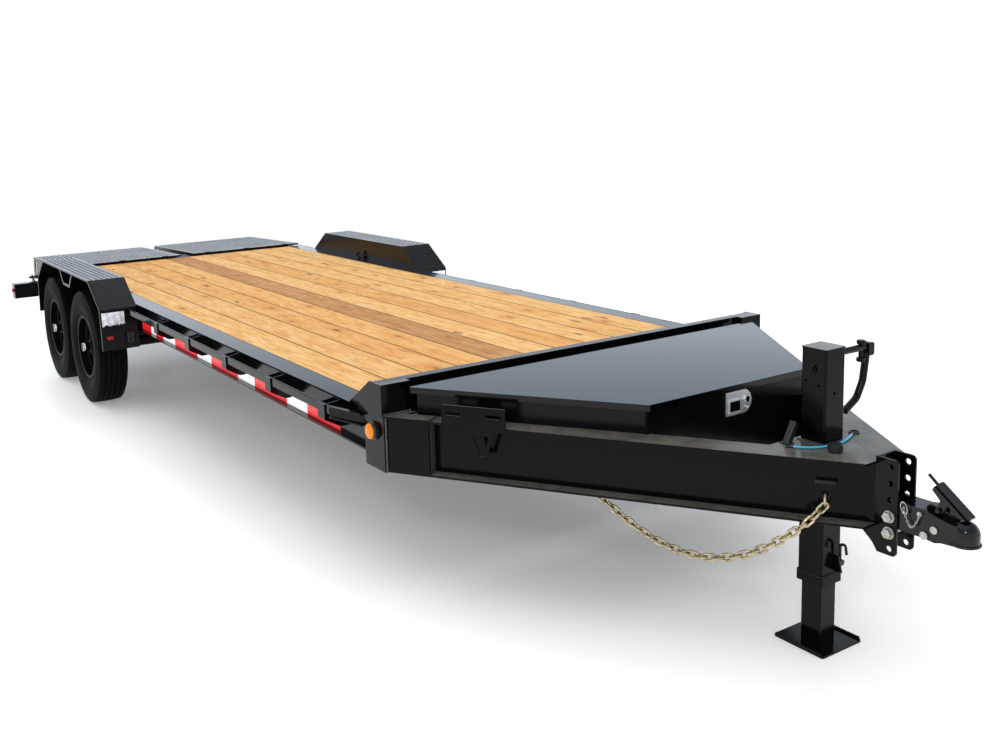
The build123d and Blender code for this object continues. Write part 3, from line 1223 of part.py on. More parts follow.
def breakaway_cable():
    path = cable_path()
    cable = sweep(Plane(origin=path @ 0, z_dir=path % 0) * Circle(CABLE_RADIUS), path=path)
    print("cable length", round(path.length), "volume over section times length",
          round(cable.volume / (path.length * pi * CABLE_RADIUS ** 2), 4))
    return cable


def breakaway_switch():
    """Slim switch leaning on its bracket, the cable's two fittings and the parked plug."""
    points = cable_points()
    foot = Pos(JACK_X - 46, points[0][1] + 24, DECK_TOP)
    body = Rot(-SWITCH_TILT, 0, 0) * fillet(block(-12, 12, -12, 12, -20, 78).edges().filter_by(Axis.Z), 4)
    body = foot * (block(-18, 18, -16, 16, 0, 4) + (body & block(-40, 40, -60, 80, 0, 120)))
    pull = rod_x(points[0][1] + 10, DECK_TOP + 6, 3, JACK_X - 40, JACK_X - 20)
    start, tip = sleeve(points[0], points[1], 24)
    end, tip = sleeve(points[-1], points[-2], 22)
    loop = CABLE_RADIUS * 4
    ring = Plane(origin=tip, z_dir=(0, 0, 1)) * Torus(loop, 3)
    along = (Vector(*points[-1]) - Vector(*points[-2])).normalized() * (loop + 3 + RUN_GAP)
    ring = Pos(along.X, along.Y, 3 - CABLE_RADIUS) * ring
    plug = rod_z(JACK_X + 110, -72, 22, DECK_TOP, DECK_TOP + 30)
    plug += rod_z(JACK_X + 110, -72, 25, DECK_TOP + 8, DECK_TOP + 20)
    return body + pull, start, end, ring, plug


def sleeve(tip, towards, length):
    """Crimped sleeve that carries on from a cable's end, and the middle of its far face."""
    along = (Vector(*tip) - Vector(*towards)).normalized()
    plane = Plane(origin=tip, z_dir=along)
    return plane * Pos(0, 0, length / 2) * Cylinder(CABLE_RADIUS, length), Vector(*tip) + along * length


def main():
    os.makedirs("parts", exist_ok=True)
    save_pair("main_rail", *main_rail())
    save_pair("tongue_beam", tongue_beam())
    save("knees", *both_sides(*knee()))
    save("front_header", header())
    save("crossmembers", *crossmembers(), deck_end())
    save("deck_boards", *deck_boards())
    save_pair("rub_rail", *rub_rail())
    save("stake_pockets", *both_sides(*[stake_pocket(x) for x in pocket_places()]))
    save("toolbox", toolbox())
    save("toolbox_lid", toolbox_lid())
    save("toolbox_latch", *toolbox_latch())
    save("slotted_plate", slotted_plate())
    save("nose_plate", nose_plate())
    save("coupler_bracket", coupler_bracket())
    save("coupler", coupler(), coupler_lever())
    save("coupler_hardware", *[bracket_bolt(z) for z in coupler_heights()], *coupler_pins())
    save("jack_housing", jack_housing())
    save("jack_leg", jack_leg())
    save("jack_crank", *jack_crank())
    save("jack_pull_pin", *pull_pin())
    for end, x in zip(("front", "rear"), AXLES_X):
        save_pair(f"tyre_{end}", tyre(x))
        save_pair(f"wheel_{end}", rim(x), drum(x), *hub_face(x))
    save("axles", *[axle(x) for x in AXLES_X])
    save("leaf_springs", *both_sides(*[leaf_spring(x) for x in AXLES_X]))
    save("spring_hangers", *both_sides(*spring_hangers()))
    save_pair("fender", fender())
    save_pair("ramp", ramp())
    save("tail_rails", *both_sides(tail_rail()))
    save("bumper", bumper())
    save("marker_lights", *both_sides(marker_light()))
    save("tail_lights", *tail_lights())
    save("safety_chains", *both_sides(*safety_chain()))
    save("breakaway_cable", breakaway_cable())
    save("breakaway_switch", *breakaway_switch())


main()
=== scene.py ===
# %% [markdown]
# # A car transporter trailer
# The CAD model of the trailer comes in as a fixed frame: every rail, plate, wheel and pin already has
# its true shape, size and place. What is left is what a workshop adds at the end: paint, timber, tyre
# rubber, plated bolts, reflective tape, weld beads and the raised pattern of tread plate. Each step below
# says what the thing is on the real trailer, how it could be made in Blender, and why this way was chosen.

# %% Open the CAD frame
import bpy
import bmesh
import math
import random
from mathutils import Matrix, Vector


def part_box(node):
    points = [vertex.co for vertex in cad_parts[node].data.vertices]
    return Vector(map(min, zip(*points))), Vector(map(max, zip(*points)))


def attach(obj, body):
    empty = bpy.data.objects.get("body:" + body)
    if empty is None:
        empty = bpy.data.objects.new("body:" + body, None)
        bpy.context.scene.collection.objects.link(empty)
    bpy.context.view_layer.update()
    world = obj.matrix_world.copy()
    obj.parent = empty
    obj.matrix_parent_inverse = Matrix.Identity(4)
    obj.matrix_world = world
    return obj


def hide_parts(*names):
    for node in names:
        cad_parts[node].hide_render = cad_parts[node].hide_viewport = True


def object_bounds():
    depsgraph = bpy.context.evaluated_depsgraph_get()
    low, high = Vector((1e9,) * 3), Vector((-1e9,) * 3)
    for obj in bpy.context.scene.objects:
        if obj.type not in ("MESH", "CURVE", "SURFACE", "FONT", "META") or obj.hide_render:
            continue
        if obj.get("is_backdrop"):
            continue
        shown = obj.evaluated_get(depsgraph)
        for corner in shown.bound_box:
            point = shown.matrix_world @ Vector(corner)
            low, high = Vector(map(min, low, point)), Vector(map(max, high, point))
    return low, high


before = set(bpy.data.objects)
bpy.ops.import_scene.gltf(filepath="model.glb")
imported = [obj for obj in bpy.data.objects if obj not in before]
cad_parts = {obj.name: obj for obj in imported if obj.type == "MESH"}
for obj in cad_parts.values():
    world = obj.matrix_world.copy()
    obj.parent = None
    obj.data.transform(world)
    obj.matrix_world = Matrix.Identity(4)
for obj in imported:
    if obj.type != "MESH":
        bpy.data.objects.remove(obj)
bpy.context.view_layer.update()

# %% [markdown]
# Sizes that several steps share. They repeat the trailer's own drawing: the deck's height, the width over
# the rails, the tongue's angle. X runs forward to the coupler and the origin lies on the ground under the
# middle of the trailer, so a distance measured from the deck's front edge gets DECK_FRONT added. Each beam
# of the tongue starts TONGUE_ROOT outside the rails, at the deck's front edge, and runs in at TONGUE_ANGLE.

# %% Shared sizes, in metres
deck_low, deck_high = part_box("deck_boards")
DECK_TOP = deck_high[2]
DECK_REAR = deck_low[0]
DECK_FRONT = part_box("front_header")[1][0]
FRAME_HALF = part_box("main_rail_left")[1][1]
TONGUE_ROOT = 0.0223
TONGUE_ANGLE = math.radians(33.6)
RAIL_INNER = 0.944
BOARD_COUNT = 10
BOARD_PITCH = 2 * RAIL_INNER / BOARD_COUNT
SIDES = (("left", 1), ("right", -1))
WHEELS = {}
for end in ("front", "rear"):
    for side in ("left", "right"):
        low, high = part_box(f"tyre_{end}_{side}")
        WHEELS[f"{end}_{side}"] = (Vector(low) + Vector(high)) / 2
TYRE_RADIUS = (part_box("tyre_front_left")[1][2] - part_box("tyre_front_left")[0][2]) / 2
print("deck top", round(DECK_TOP, 3), "tyre radius", round(TYRE_RADIUS, 3))

# %% [markdown]
# Colours are written as the hex values a paint chart gives. Those are sRGB numbers, made for a screen, and
# a shader works in linear light, so one function turns them round. A second gives a node's inputs their
# values or links, and a third adds a node of any kind with its settings.

# %% Helpers for colours and nodes
def linear(hex_colour):
    """Linear RGBA of an sRGB hex colour such as "#F2C388"."""
    channels = [int(hex_colour[i:i + 2], 16) / 255 for i in (1, 3, 5)]
    return [c / 12.92 if c <= 0.04045 else ((c + 0.055) / 1.055) ** 2.4 for c in channels] + [1.0]


def fill(tree, node, inputs):
    """Give inputs a value, a hex colour or a link; a node stands for its first output."""
    for name, value in inputs.items():
        if isinstance(value, bpy.types.Node):
            value = value.outputs[0]
        if isinstance(value, bpy.types.NodeSocket):
            tree.links.new(value, node.inputs[name])
        else:
            node.inputs[name].default_value = linear(value) if isinstance(value, str) else value


def add(tree, kind, inputs=None, stops=(), **settings):
    """Add one node with its settings, its inputs and, for a colour ramp, its (position, colour) stops."""
    node = tree.nodes.new("ShaderNode" + kind)
    for name, value in settings.items():
        setattr(node, name, value)
    fill(tree, node, inputs or {})
    for i, (position, colour) in enumerate(stops):
        elements = node.color_ramp.elements
        element = elements[i] if i < len(elements) else elements.new(1.0)
        element.position = position
        element.color = linear(colour)
    return node


print("node helpers ready")

# %% [markdown]
# A new material comes with its tree, its shader and the object's own coordinates, which stay on the surface
# when a part moves. Most finishes then share one thing: a pattern makes the gloss uneven and another raises
# the surface. A pattern's scale counts its grains in one metre, so a scale of 260 makes grains 4 mm wide.

# %% Helpers for materials
def new_material(name, colour, roughness, **values):
    """A material with one Principled shader, and its tree, shader and object coordinates."""
    material = bpy.data.materials.new(name)
    material.use_nodes = True
    tree = material.node_tree
    shader = tree.nodes["Principled BSDF"]
    fill(tree, shader, {"Base Color": colour, "Roughness": roughness})
    fill(tree, shader, {socket.replace("_", " "): value for socket, value in values.items()})
    place = add(tree, "TexCoord").outputs["Object"]
    return material, tree, shader, place


def texture(tree, shader, patches, gloss, dull, grain, relief, strength=1.0):
    """Let patches move the roughness from gloss to dull, and grain raise the surface by relief in metres."""
    fill(tree, shader, {"Roughness": add(tree, "MapRange", {"Value": patches, "To Min": gloss, "To Max": dull}),
                        "Normal": add(tree, "Bump", {"Height": grain, "Distance": relief, "Strength": strength})})


print("material helpers ready")

# %% [markdown]
# ## Black enamel
# The frame is welded steel, sprayed with gloss black enamel. Black enamel has almost no colour of its own:
# what the eye sees is the light at a glancing angle, so flat tops look blue-grey while upright faces stay
# nearly black. Road dust settles on a tongue, and only where a face looks up, and the same grey film also
# serves as a painted reflection of the bright things that flat tops mirror. A painted mask would have to
# be redrawn for every plate, so the film follows the direction of the surface, and a noise with grains a
# hand wide makes it patchy.

# %% Film of dust and painted reflection on flat tops
def dust_and_reflection_film(tree, place, colour):
    """The paint's colour, greyed wherever the surface faces up: dust, and a painted reflection."""
    facing = add(tree, "SeparateXYZ", {"Vector": add(tree, "NewGeometry").outputs["Normal"]})
    flat = add(tree, "MapRange", {"Value": facing.outputs["Z"], "From Min": 0.8, "From Max": 0.97})
    film = add(tree, "TexNoise", {"Vector": place, "Scale": 9.0, "Detail": 6.0, "Roughness": 0.65})
    film = add(tree, "MapRange", {"Value": film, "From Min": 0.36, "From Max": 0.68, "To Min": 0.40, "To Max": 0.85})
    share = add(tree, "Math", {0: flat, 1: film}, operation="MULTIPLY")
    # The grey film stands for dust and also for a painted reflection on up-facing faces.
    return add(tree, "MixRGB", {"Fac": share, "Color1": colour, "Color2": "#716E68"})


print("dust film ready")

# %% [markdown]
# Enamel sprayed in a workshop is never a perfect mirror. It dries with a fine orange peel and gets wiped
# unevenly, so a slow noise, half a metre wide, moves the roughness between glossy and dull, and a fine noise
# gives the peel. Real peel is one or two millimetres wide, too fine to show at this distance, so it is
# drawn 4 mm wide. The same paint lies differently on each part: thin and chalky on the chassis under the
# deck, smooth on the toolbox lid's sheet, worn on the raised lozenges of the tread, thick over weld beads.
# The lozenges are also tinted blue-grey as a painted sheen, and the knees' return plates get a lighter grey
# as painted light.

# %% Gloss black enamel on steel
def enamel(name, colour="#060607", gloss=0.09, dull=0.20, peel=0.00004, level=0.15, dusty=False):
    material, tree, shader, place = new_material(name, colour, gloss, Specular_IOR_Level=level)
    wiped = add(tree, "TexNoise", {"Vector": place, "Scale": 2.3, "Detail": 5.0, "Roughness": 0.62})
    skin = add(tree, "TexNoise", {"Vector": place, "Scale": 260.0, "Detail": 2.0})
    texture(tree, shader, wiped, gloss, dull, skin, peel)
    # Dusty parts get the grey film: dust, and a painted reflection on their tops.
    if dusty:
        fill(tree, shader, {"Base Color": dust_and_reflection_film(tree, place, colour)})
    return material


frame_enamel = enamel("gloss_black_enamel")
# Dust and a painted reflection on the up-facing tops of the tongue, knees and nose.
dust_and_reflection_enamel = enamel("black_enamel_dust_and_painted_reflection", level=0.11, dusty=True)
weld_enamel = enamel("painted_weld_bead", "#161616", 0.05, 0.12, 0.0002, 0.9)
# Lighter grey paint for the knees' return plates is painted light: it makes them read brighter.
painted_light_return_enamel = enamel("grey_enamel_painted_light", "#3C3C3A", 0.30, 0.45, 0.00005, 0.2)
lid_enamel = enamel("gloss_black_enamel_sheet", gloss=0.07, dull=0.15, peel=0.00002, level=0.28)
tread_enamel = enamel("tread_plate_enamel", gloss=0.16, dull=0.30, peel=0.00005, level=0.21)
box_enamel = enamel("toolbox_enamel", gloss=0.15, dull=0.28, level=0.17)
# The lozenges' blue-grey is wear plus a painted sheen of the sky they mirror.
wear_and_sheen_enamel = enamel("tread_enamel_wear_and_painted_sheen", "#171A20", 0.22, 0.36, 0.00004, 0.30)
chassis_enamel = enamel("dull_black_chassis_paint", "#070707", 0.32, 0.55, 0.0001, 0.15)
wheel_enamel = enamel("black_wheel_paint", "#050505", 0.42, 0.55, 0.00003, 0.08)
print("enamels:", frame_enamel.name, lid_enamel.name, chassis_enamel.name)

# %% [markdown]
# The coupler is a steel casting under thick black paint. The sand mould leaves a coarse skin that paint
# softens but doesn't hide, so its relief is larger and rounder than the enamel's: grains of about 6 mm.
# Hands and chains polish it in spots a few centimetres wide, which the roughness follows.

# %% Painted casting
def casting():
    material, tree, shader, place = new_material("painted_cast_steel", "#060608", 0.12, Specular_IOR_Level=0.32)
    sand = add(tree, "TexNoise", {"Vector": place, "Scale": 170.0, "Detail": 3.0, "Roughness": 0.55})
    worn = add(tree, "TexNoise", {"Vector": place, "Scale": 30.0, "Detail": 4.0})
    texture(tree, shader, worn, 0.05, 0.17, sand, 0.00016)
    return material


cast_black = casting()
print("casting:", cast_black.name)

# %% [markdown]
# ## Plated fasteners
# Bolts and nuts are zinc plated: a pale grey metal that clouds unevenly, in patches of about 12 mm. The
# safety chain has yellow zinc, where a chromate dip turns the plating a dull gold. All are metals, so their
# colour is the colour of their reflection and their IOR stays at its default.

# %% Zinc, yellow zinc, hub steel, and a bright sheet for metal and painted highlights
def plated(name, colour, second, roughness):
    material, tree, shader, place = new_material(name, colour, roughness, Metallic=1.0)
    cloud = add(tree, "TexNoise", {"Vector": place, "Scale": 85.0, "Detail": 4.0, "Roughness": 0.6})
    tinted = add(tree, "ValToRGB", {"Fac": cloud}, stops=[(0.35, colour), (0.68, second)])
    fill(tree, shader, {"Base Color": tinted})
    texture(tree, shader, cloud, roughness - 0.08, roughness + 0.14, cloud, 0.00008)
    return material


zinc = plated("zinc_plated_steel", "#C8C6BD", "#96958D", 0.32)
zinc_dull = plated("weathered_zinc_screws", "#A59A86", "#75695A", 0.5)
yellow_zinc = plated("yellow_zinc_plated_steel", "#D3C39E", "#8F8162", 0.34)
hub_steel = plated("polished_hub_steel", "#D6D7D8", "#A9ABAD", 0.18)
# This bright sheet is real metal on the latch rim and a painted highlight on the fenders' front plates.
bright_sheet = plated("bright_metal_sheet_and_painted_highlight", "#FAFBFC", "#DDE0E3", 0.42)
print("metals:", zinc.name, yellow_zinc.name, hub_steel.name, bright_sheet.name)

# %% [markdown]
# The latch is brushed stainless steel, whose fine parallel scratches stretch each highlight across them. A
# real scratch is a tenth of a millimetre wide; it is drawn 0.4 mm wide and 25 mm long so that it shows.

# %% Brushed stainless steel
def brushed_stainless():
    material, tree, shader, place = new_material("brushed_stainless_steel", "#F0F1F2", 0.34, Metallic=1.0)
    along = add(tree, "Mapping", {"Vector": place, "Scale": (1.0, 40.0, 2600.0)})
    lines = add(tree, "TexNoise", {"Vector": along, "Scale": 1.0, "Detail": 2.0})
    texture(tree, shader, lines, 0.26, 0.46, lines, 0.00004)
    return material


stainless = brushed_stainless()
print("latch:", stainless.name)

# %% [markdown]
# ## Softwood boards
# The deck is ten pine boards, sawn along the tree, so the grain runs the length of the trailer. Three
# things make pine read as pine: pale early wood and orange late wood in long wavering bands, knots where
# branches grew, and the fact that no two boards match. The board's number comes from how far across the
# deck a point lies. A random value of that number shifts the grain, so every board is a different one.

# %% Number the boards and shift their grain
def by_board(tree, place):
    """Share across the boards, the board's number and random value, and the shifted place."""
    axes = add(tree, "SeparateXYZ", {"Vector": place})
    across = add(tree, "Math", {0: axes.outputs["Y"], 1: RAIL_INNER}, operation="ADD")
    share = add(tree, "Math", {0: across, 1: BOARD_PITCH}, operation="DIVIDE")
    number = add(tree, "Math", {0: share}, operation="FLOOR")
    chance = add(tree, "TexWhiteNoise", {"W": number}, noise_dimensions="1D")
    shift = add(tree, "VectorMath", {0: chance.outputs["Color"], 1: (37.0, 0.9, 5.0)}, operation="MULTIPLY")
    return share, number, chance, add(tree, "VectorMath", {0: place, 1: shift}, operation="ADD")


print("boards:", BOARD_COUNT, "pitch (m):", round(BOARD_PITCH, 4))

# %% [markdown]
# A knot is a branch cut through: a dark heart about 60 mm long and 20 mm wide, and a halo where the grain
# bends round it. Each one is a cell of a stretched Voronoi pattern, half a metre long and a board wide, and
# three cells in ten get one. Resin leaves shorter ragged streaks, in one cell of sixteen.

# %% Knots and resin streaks
def scattered(tree, board, stretch, channel, threshold):
    """Distance from the middle of stretched cells, and which few cells a random channel picks."""
    along = add(tree, "Mapping", {"Vector": board, "Scale": stretch})
    cell = add(tree, "TexVoronoi", {"Vector": along, "Scale": 1.0}, voronoi_dimensions="2D")
    chance = add(tree, "SeparateColor", {"Color": cell.outputs["Color"]}).outputs[channel]
    return cell, add(tree, "Math", {0: chance, 1: threshold}, operation="GREATER_THAN")


def knots(tree, board):
    """How much of a knot's halo and of its heart a point gets."""
    cell, rare = scattered(tree, board, (1.9, 5.2, 0.0), "Red", 0.70)
    near = add(tree, "MapRange", {"Value": cell, "From Min": 0.03, "From Max": 0.34, "To Min": 1.0, "To Max": 0.0},
               interpolation_type="SMOOTHSTEP")
    heart = add(tree, "MapRange", {"Value": cell, "From Min": 0.03, "From Max": 0.085, "To Min": 1.0, "To Max": 0.0})
    return [add(tree, "Math", {0: amount, 1: rare}, operation="MULTIPLY") for amount in (near, heart)]


def resin_streaks(tree, board):
    cell, few = scattered(tree, board, (3.1, 12.5, 0.0), "Green", 0.94)
    ragged = add(tree, "TexNoise", {"Vector": board, "Scale": 55.0, "Detail": 3.0})
    ragged = add(tree, "Math", {0: ragged, 1: 0.30, 2: cell}, operation="MULTIPLY_ADD")
    mark = add(tree, "MapRange", {"Value": ragged, "From Min": 0.25, "From Max": 0.33, "To Min": 0.80, "To Max": 0.0})
    return add(tree, "Math", {0: mark, 1: few}, operation="MULTIPLY")


print("knots and resin ready")

# %% [markdown]
# Growth rings cut lengthwise show as long pointed arches. A stretched noise is cut into eight steps like a
# map's height lines, and a knot pushes the lines aside. Over them lie saw fibres about 4 mm wide, darker
# grain lines about 13 mm wide, and blotches a hand wide where resin or rain has changed the wood.

# %% Growth rings and the texture of the cut
def growth_rings(tree, board, near):
    """The rings as a 0 to 1 saw-tooth, bent round the knots."""
    wave = add(tree, "Mapping", {"Vector": board, "Scale": (0.85, 6.5, 3.0)})
    drift = add(tree, "TexNoise", {"Vector": wave, "Scale": 1.0, "Detail": 4.0, "Roughness": 0.6})
    bend = add(tree, "Math", {0: near, 1: 0.7, 2: drift}, operation="MULTIPLY_ADD")
    rings = add(tree, "Math", {0: bend, 1: 8.0}, operation="MULTIPLY")
    return add(tree, "Math", {0: rings}, operation="FRACT")


def cut_texture(tree, board):
    """Noises stretched along the board: fibres, grain lines and blotches."""
    made = []
    for stretch, detail, rough in (((9.0, 260.0, 60.0), 3.0, 0.6), ((2.4, 75.0, 1.0), 4.0, 0.55),
                                   ((7.0, 17.0, 1.0), 6.0, 0.68)):
        along = add(tree, "Mapping", {"Vector": board, "Scale": stretch})
        made.append(add(tree, "TexNoise", {"Vector": along, "Scale": 1.0, "Detail": detail, "Roughness": rough}))
    return made


print("growth rings ready")

# %% [markdown]
# Two more things darken a deck. Dirt and shade gather in the joint between two boards, within three
# millimetres of each sawn edge, and the underside is a dark grey as painted shade, so that it bounces less
# warm light onto the floor.

# %% Joints between boards and the painted shade of the underside
def joints(tree, share):
    inside = add(tree, "Math", {0: share}, operation="FRACT")
    inside = add(tree, "Math", {0: inside, 1: 0.5}, operation="SUBTRACT")
    inside = add(tree, "Math", {0: inside}, operation="ABSOLUTE")
    edge = 0.5 - 0.0015 / BOARD_PITCH
    return add(tree, "MapRange", {"Value": inside, "From Min": edge - 0.0032 / BOARD_PITCH,
                                  "From Max": edge - 0.0012 / BOARD_PITCH})


def underside(tree, place):
    # A darker grey under the deck is painted shade, so the boards bounce less warm light onto the floor.
    height = add(tree, "SeparateXYZ", {"Vector": place}).outputs["Z"]
    return add(tree, "MapRange", {"Value": height, "From Min": DECK_TOP - 0.030, "From Max": DECK_TOP - 0.020,
                                  "To Min": 1.0, "To Max": 0.0})


print("joints and underside ready")

# %% [markdown]
# The wood's colour is built as a painter glazes: the rings first, then coat after coat over them, each with
# its strength, its colour and the way it goes on. Every board has its own tint, and one board near the
# middle has been out in the rain longer than the rest.

# %% Pine with its own grain on every board
WEATHERED_BOARD = 4.0  # counted from 0 at the right rail


def pine_boards():
    material, tree, shader, place = new_material("sawn_pine_boards", "#E2AE6E", 0.62, Specular_IOR_Level=0.18)
    share, number, chance, board = by_board(tree, place)
    near, heart = knots(tree, board)
    rings = growth_rings(tree, board, near)
    fibre, grain, patches = cut_texture(tree, board)
    wood = add(tree, "ValToRGB", {"Fac": rings}, stops=[(0.0, "#F3D39E"), (0.5, "#EFCB92"), (0.86, "#E6BC7E"),
                                                       (0.96, "#DCAE6E"), (1.0, "#F0CE98")])
    blotch = add(tree, "ValToRGB", {"Fac": patches}, stops=[(0.38, "#FFFFFF"), (0.52, "#FCF2E0"), (0.64, "#F3DFC0"),
                                                           (0.78, "#DAB98C")])
    streaks = add(tree, "ValToRGB", {"Fac": fibre}, stops=[(0.32, "#E9D0AC"), (0.55, "#FFFFFF")])
    lines = add(tree, "ValToRGB", {"Fac": grain}, stops=[(0.36, "#E2BA86"), (0.50, "#FFFFFF"), (0.66, "#F6E0BE")])
    tint = add(tree, "ValToRGB", {"Fac": chance}, stops=[(0.0, "#F7E2C8"), (0.4, "#FFFFFF"), (0.7, "#FFF4DC"),
                                                        (1.0, "#F0D3B0")])
    rained_on = add(tree, "Math", {0: number, 1: WEATHERED_BOARD, 2: 0.5}, operation="COMPARE")
    uneven = add(tree, "MapRange", {"Value": patches, "To Min": 0.35, "To Max": 1.25})
    rained_on = add(tree, "Math", {0: rained_on, 1: uneven}, operation="MULTIPLY")
    halo = add(tree, "Math", {0: near, 1: 0.45}, operation="MULTIPLY")
    heart = add(tree, "Math", {0: heart, 1: 0.85}, operation="MULTIPLY")
    coats = ((0.9, blotch, "MULTIPLY"), (0.6, streaks, "MULTIPLY"), (0.30, lines, "MULTIPLY"), (0.8, tint, "MULTIPLY"),
             (rained_on, "#CCC5CA", "MULTIPLY"), (halo, "#E2B27A", "MULTIPLY"), (heart, "#A5662F", "MIX"),
             (resin_streaks(tree, board), "#5E4022", "MIX"), (joints(tree, share), "#3E2A18", "MIX"),
             # Painted shade: the underside is mixed to a dark grey.
             (underside(tree, place), "#55524E", "MIX"))
    for strength, colour, way in coats:
        wood = add(tree, "MixRGB", {"Fac": strength, "Color1": wood, "Color2": colour}, blend_type=way)
    height = add(tree, "Math", {0: rings, 1: fibre}, operation="ADD")
    fill(tree, shader, {"Base Color": wood})
    texture(tree, shader, fibre, 0.5, 0.8, height, 0.0004, 0.5)
    return material


pine = pine_boards()
print("timber:", pine.name, "nodes:", len(pine.node_tree.nodes))

# %% [markdown]
# ## Tyre rubber
# A trailer tyre is carbon-black rubber, so it is a very dark grey that never shines. Its tread has straight
# ribs, which the CAD tyre already has, cut across by narrow sipes. The sidewall carries fine radial ribs
# near the rim and smooth rings above them. These are too fine to model, so they are relief: a point's angle
# round the axle and its distance from it say which pattern it gets, and that needs only two questions, how
# often a pattern repeats and between which two distances it lies.

# %% Repeating patterns and the bands they lie in
def repeat(tree, value, times):
    """A 0 to 1 wave of a value."""
    turned = add(tree, "Math", {0: value, 1: times}, operation="MULTIPLY")
    wave = add(tree, "Math", {0: turned}, operation="SINE")
    return add(tree, "Math", {0: wave, 1: 0.5, 2: 0.5}, operation="MULTIPLY_ADD")


def between(tree, value, low, high):
    """1 where a value lies between two limits and 0 elsewhere."""
    above = add(tree, "Math", {0: value, 1: low}, operation="GREATER_THAN")
    below = add(tree, "Math", {0: value, 1: high}, operation="LESS_THAN")
    return add(tree, "Math", {0: above, 1: below}, operation="MULTIPLY")


SIPES_ROUND = 132.0
WALL_RIBS_ROUND = 240.0
print("patterns round a tyre:", int(SIPES_ROUND), "sipes,", int(WALL_RIBS_ROUND), "ribs")

# %% [markdown]
# A sipe is a thin cut that lets the rubber flex. They cross the two outer ribs only, within 24 mm of the
# tread's surface and more than 52 mm from the middle of the tyre.

# %% Sipes across the tread
def sipes(tree, axes, angle, radius):
    across = add(tree, "Math", {0: axes.outputs["Y"]}, operation="ABSOLUTE")
    slot = add(tree, "Math", {0: repeat(tree, angle, SIPES_ROUND), 1: 0.16}, operation="GREATER_THAN")
    crown = between(tree, radius, TYRE_RADIUS - 0.024, 1.0)
    shoulder = between(tree, across, 0.052, 0.2)
    cut = add(tree, "Math", {0: crown, 1: shoulder}, operation="MULTIPLY")
    return add(tree, "MixRGB", {"Fac": cut, "Color1": (1, 1, 1, 1), "Color2": slot})


print("sipes ready")

# %% [markdown]
# The sidewall's radial ribs lie in two bands, by the rim and near the shoulder, and rings 9 mm apart fill
# the band between them. All of it is a shallow relief, a seventh as strong as a sipe.

# %% Ribs and rings on the sidewall
def wall_relief(tree, angle, radius):
    bands = add(tree, "Math", {0: between(tree, radius, 0.232, 0.262), 1: between(tree, radius, 0.332, 0.352)},
                operation="ADD")
    ribs = add(tree, "Math", {0: repeat(tree, angle, WALL_RIBS_ROUND), 1: bands}, operation="MULTIPLY")
    rings = add(tree, "Math", {0: repeat(tree, radius, 700.0), 1: between(tree, radius, 0.292, 0.332)},
                operation="MULTIPLY")
    relief = add(tree, "Math", {0: ribs, 1: rings}, operation="ADD")
    return add(tree, "Math", {0: relief, 1: 0.14}, operation="MULTIPLY")


print("sidewall ready")

# %% [markdown]
# The Mapping node moves the pattern's middle to the wheel's own axle, and so each wheel has its own copy of
# the material. Grit in the rubber is drawn about 2 mm wide, and the dust on it lies in patches 11 cm wide.

# %% Rubber for each tyre
def tyre_rubber(name, axle):
    material, tree, shader, place = new_material(name, "#070707", 0.62, Specular_IOR_Level=0.06)
    centred = add(tree, "Mapping", {"Vector": place, "Location": (-axle.x, -axle.y, -axle.z)})
    axes = add(tree, "SeparateXYZ", {"Vector": centred})
    angle = add(tree, "Math", {0: axes.outputs["Z"], 1: axes.outputs["X"]}, operation="ARCTAN2")
    flat = add(tree, "CombineXYZ", {"X": axes.outputs["X"], "Z": axes.outputs["Z"]})
    radius = add(tree, "VectorMath", {0: flat}, operation="LENGTH").outputs["Value"]
    height = add(tree, "Math", {0: wall_relief(tree, angle, radius), 1: sipes(tree, axes, angle, radius)},
                 operation="ADD")
    grit = add(tree, "TexNoise", {"Vector": place, "Scale": 420.0, "Detail": 2.0})
    height = add(tree, "Math", {0: grit, 1: 0.05, 2: height}, operation="MULTIPLY_ADD")
    dust = add(tree, "TexNoise", {"Vector": place, "Scale": 9.0, "Detail": 5.0})
    dusty = add(tree, "ValToRGB", {"Fac": dust}, stops=[(0.35, "#050505"), (0.7, "#0D0D0E")])
    fill(tree, shader, {"Base Color": dusty})
    texture(tree, shader, dust, 0.52, 0.8, height, 0.004, 0.7)
    return material


rubber = {wheel: tyre_rubber(f"tyre_rubber_{wheel}", axle) for wheel, axle in WHEELS.items()}
print("tyres:", len(rubber))

# %% [markdown]
# ## Lenses, tape and plastics
# Marker lights are moulded acrylic with fine prisms on the inside, 6 mm apart, deep amber or red, with a
# glossy skin. Light that enters a lens comes back out of it, and a faint painted glow of its own colour stands
# for that, since the lamps are not lit. Reflective tape is a film of tiny prisms under clear plastic: up close
# it shows cells 4 mm wide, and it stays bright from every side, so its painted glow is stronger. The breakaway
# cable is steel rope in a clear blue vinyl sleeve. Moulded plastic has a fine spark-eroded grain, drawn 1.7 mm wide.

# %% Acrylic lenses, reflective film and moulded plastics
def lens(name, colour, deep):
    # The emission is a painted glow: the lens is not a lit lamp.
    material, tree, shader, place = new_material(name, colour, 0.16, Specular_IOR_Level=0.3,
                                                 Emission_Color=colour, Emission_Strength=0.18)
    rows = add(tree, "TexWave", {"Vector": place, "Scale": 52.0, "Distortion": 0.0}, bands_direction="Z")
    rows = rows.outputs["Fac"]
    fill(tree, shader, {"Base Color": add(tree, "ValToRGB", {"Fac": rows}, stops=[(0.1, deep), (0.8, colour)]),
                        "Normal": add(tree, "Bump", {"Height": rows, "Distance": 0.0008})})
    return material


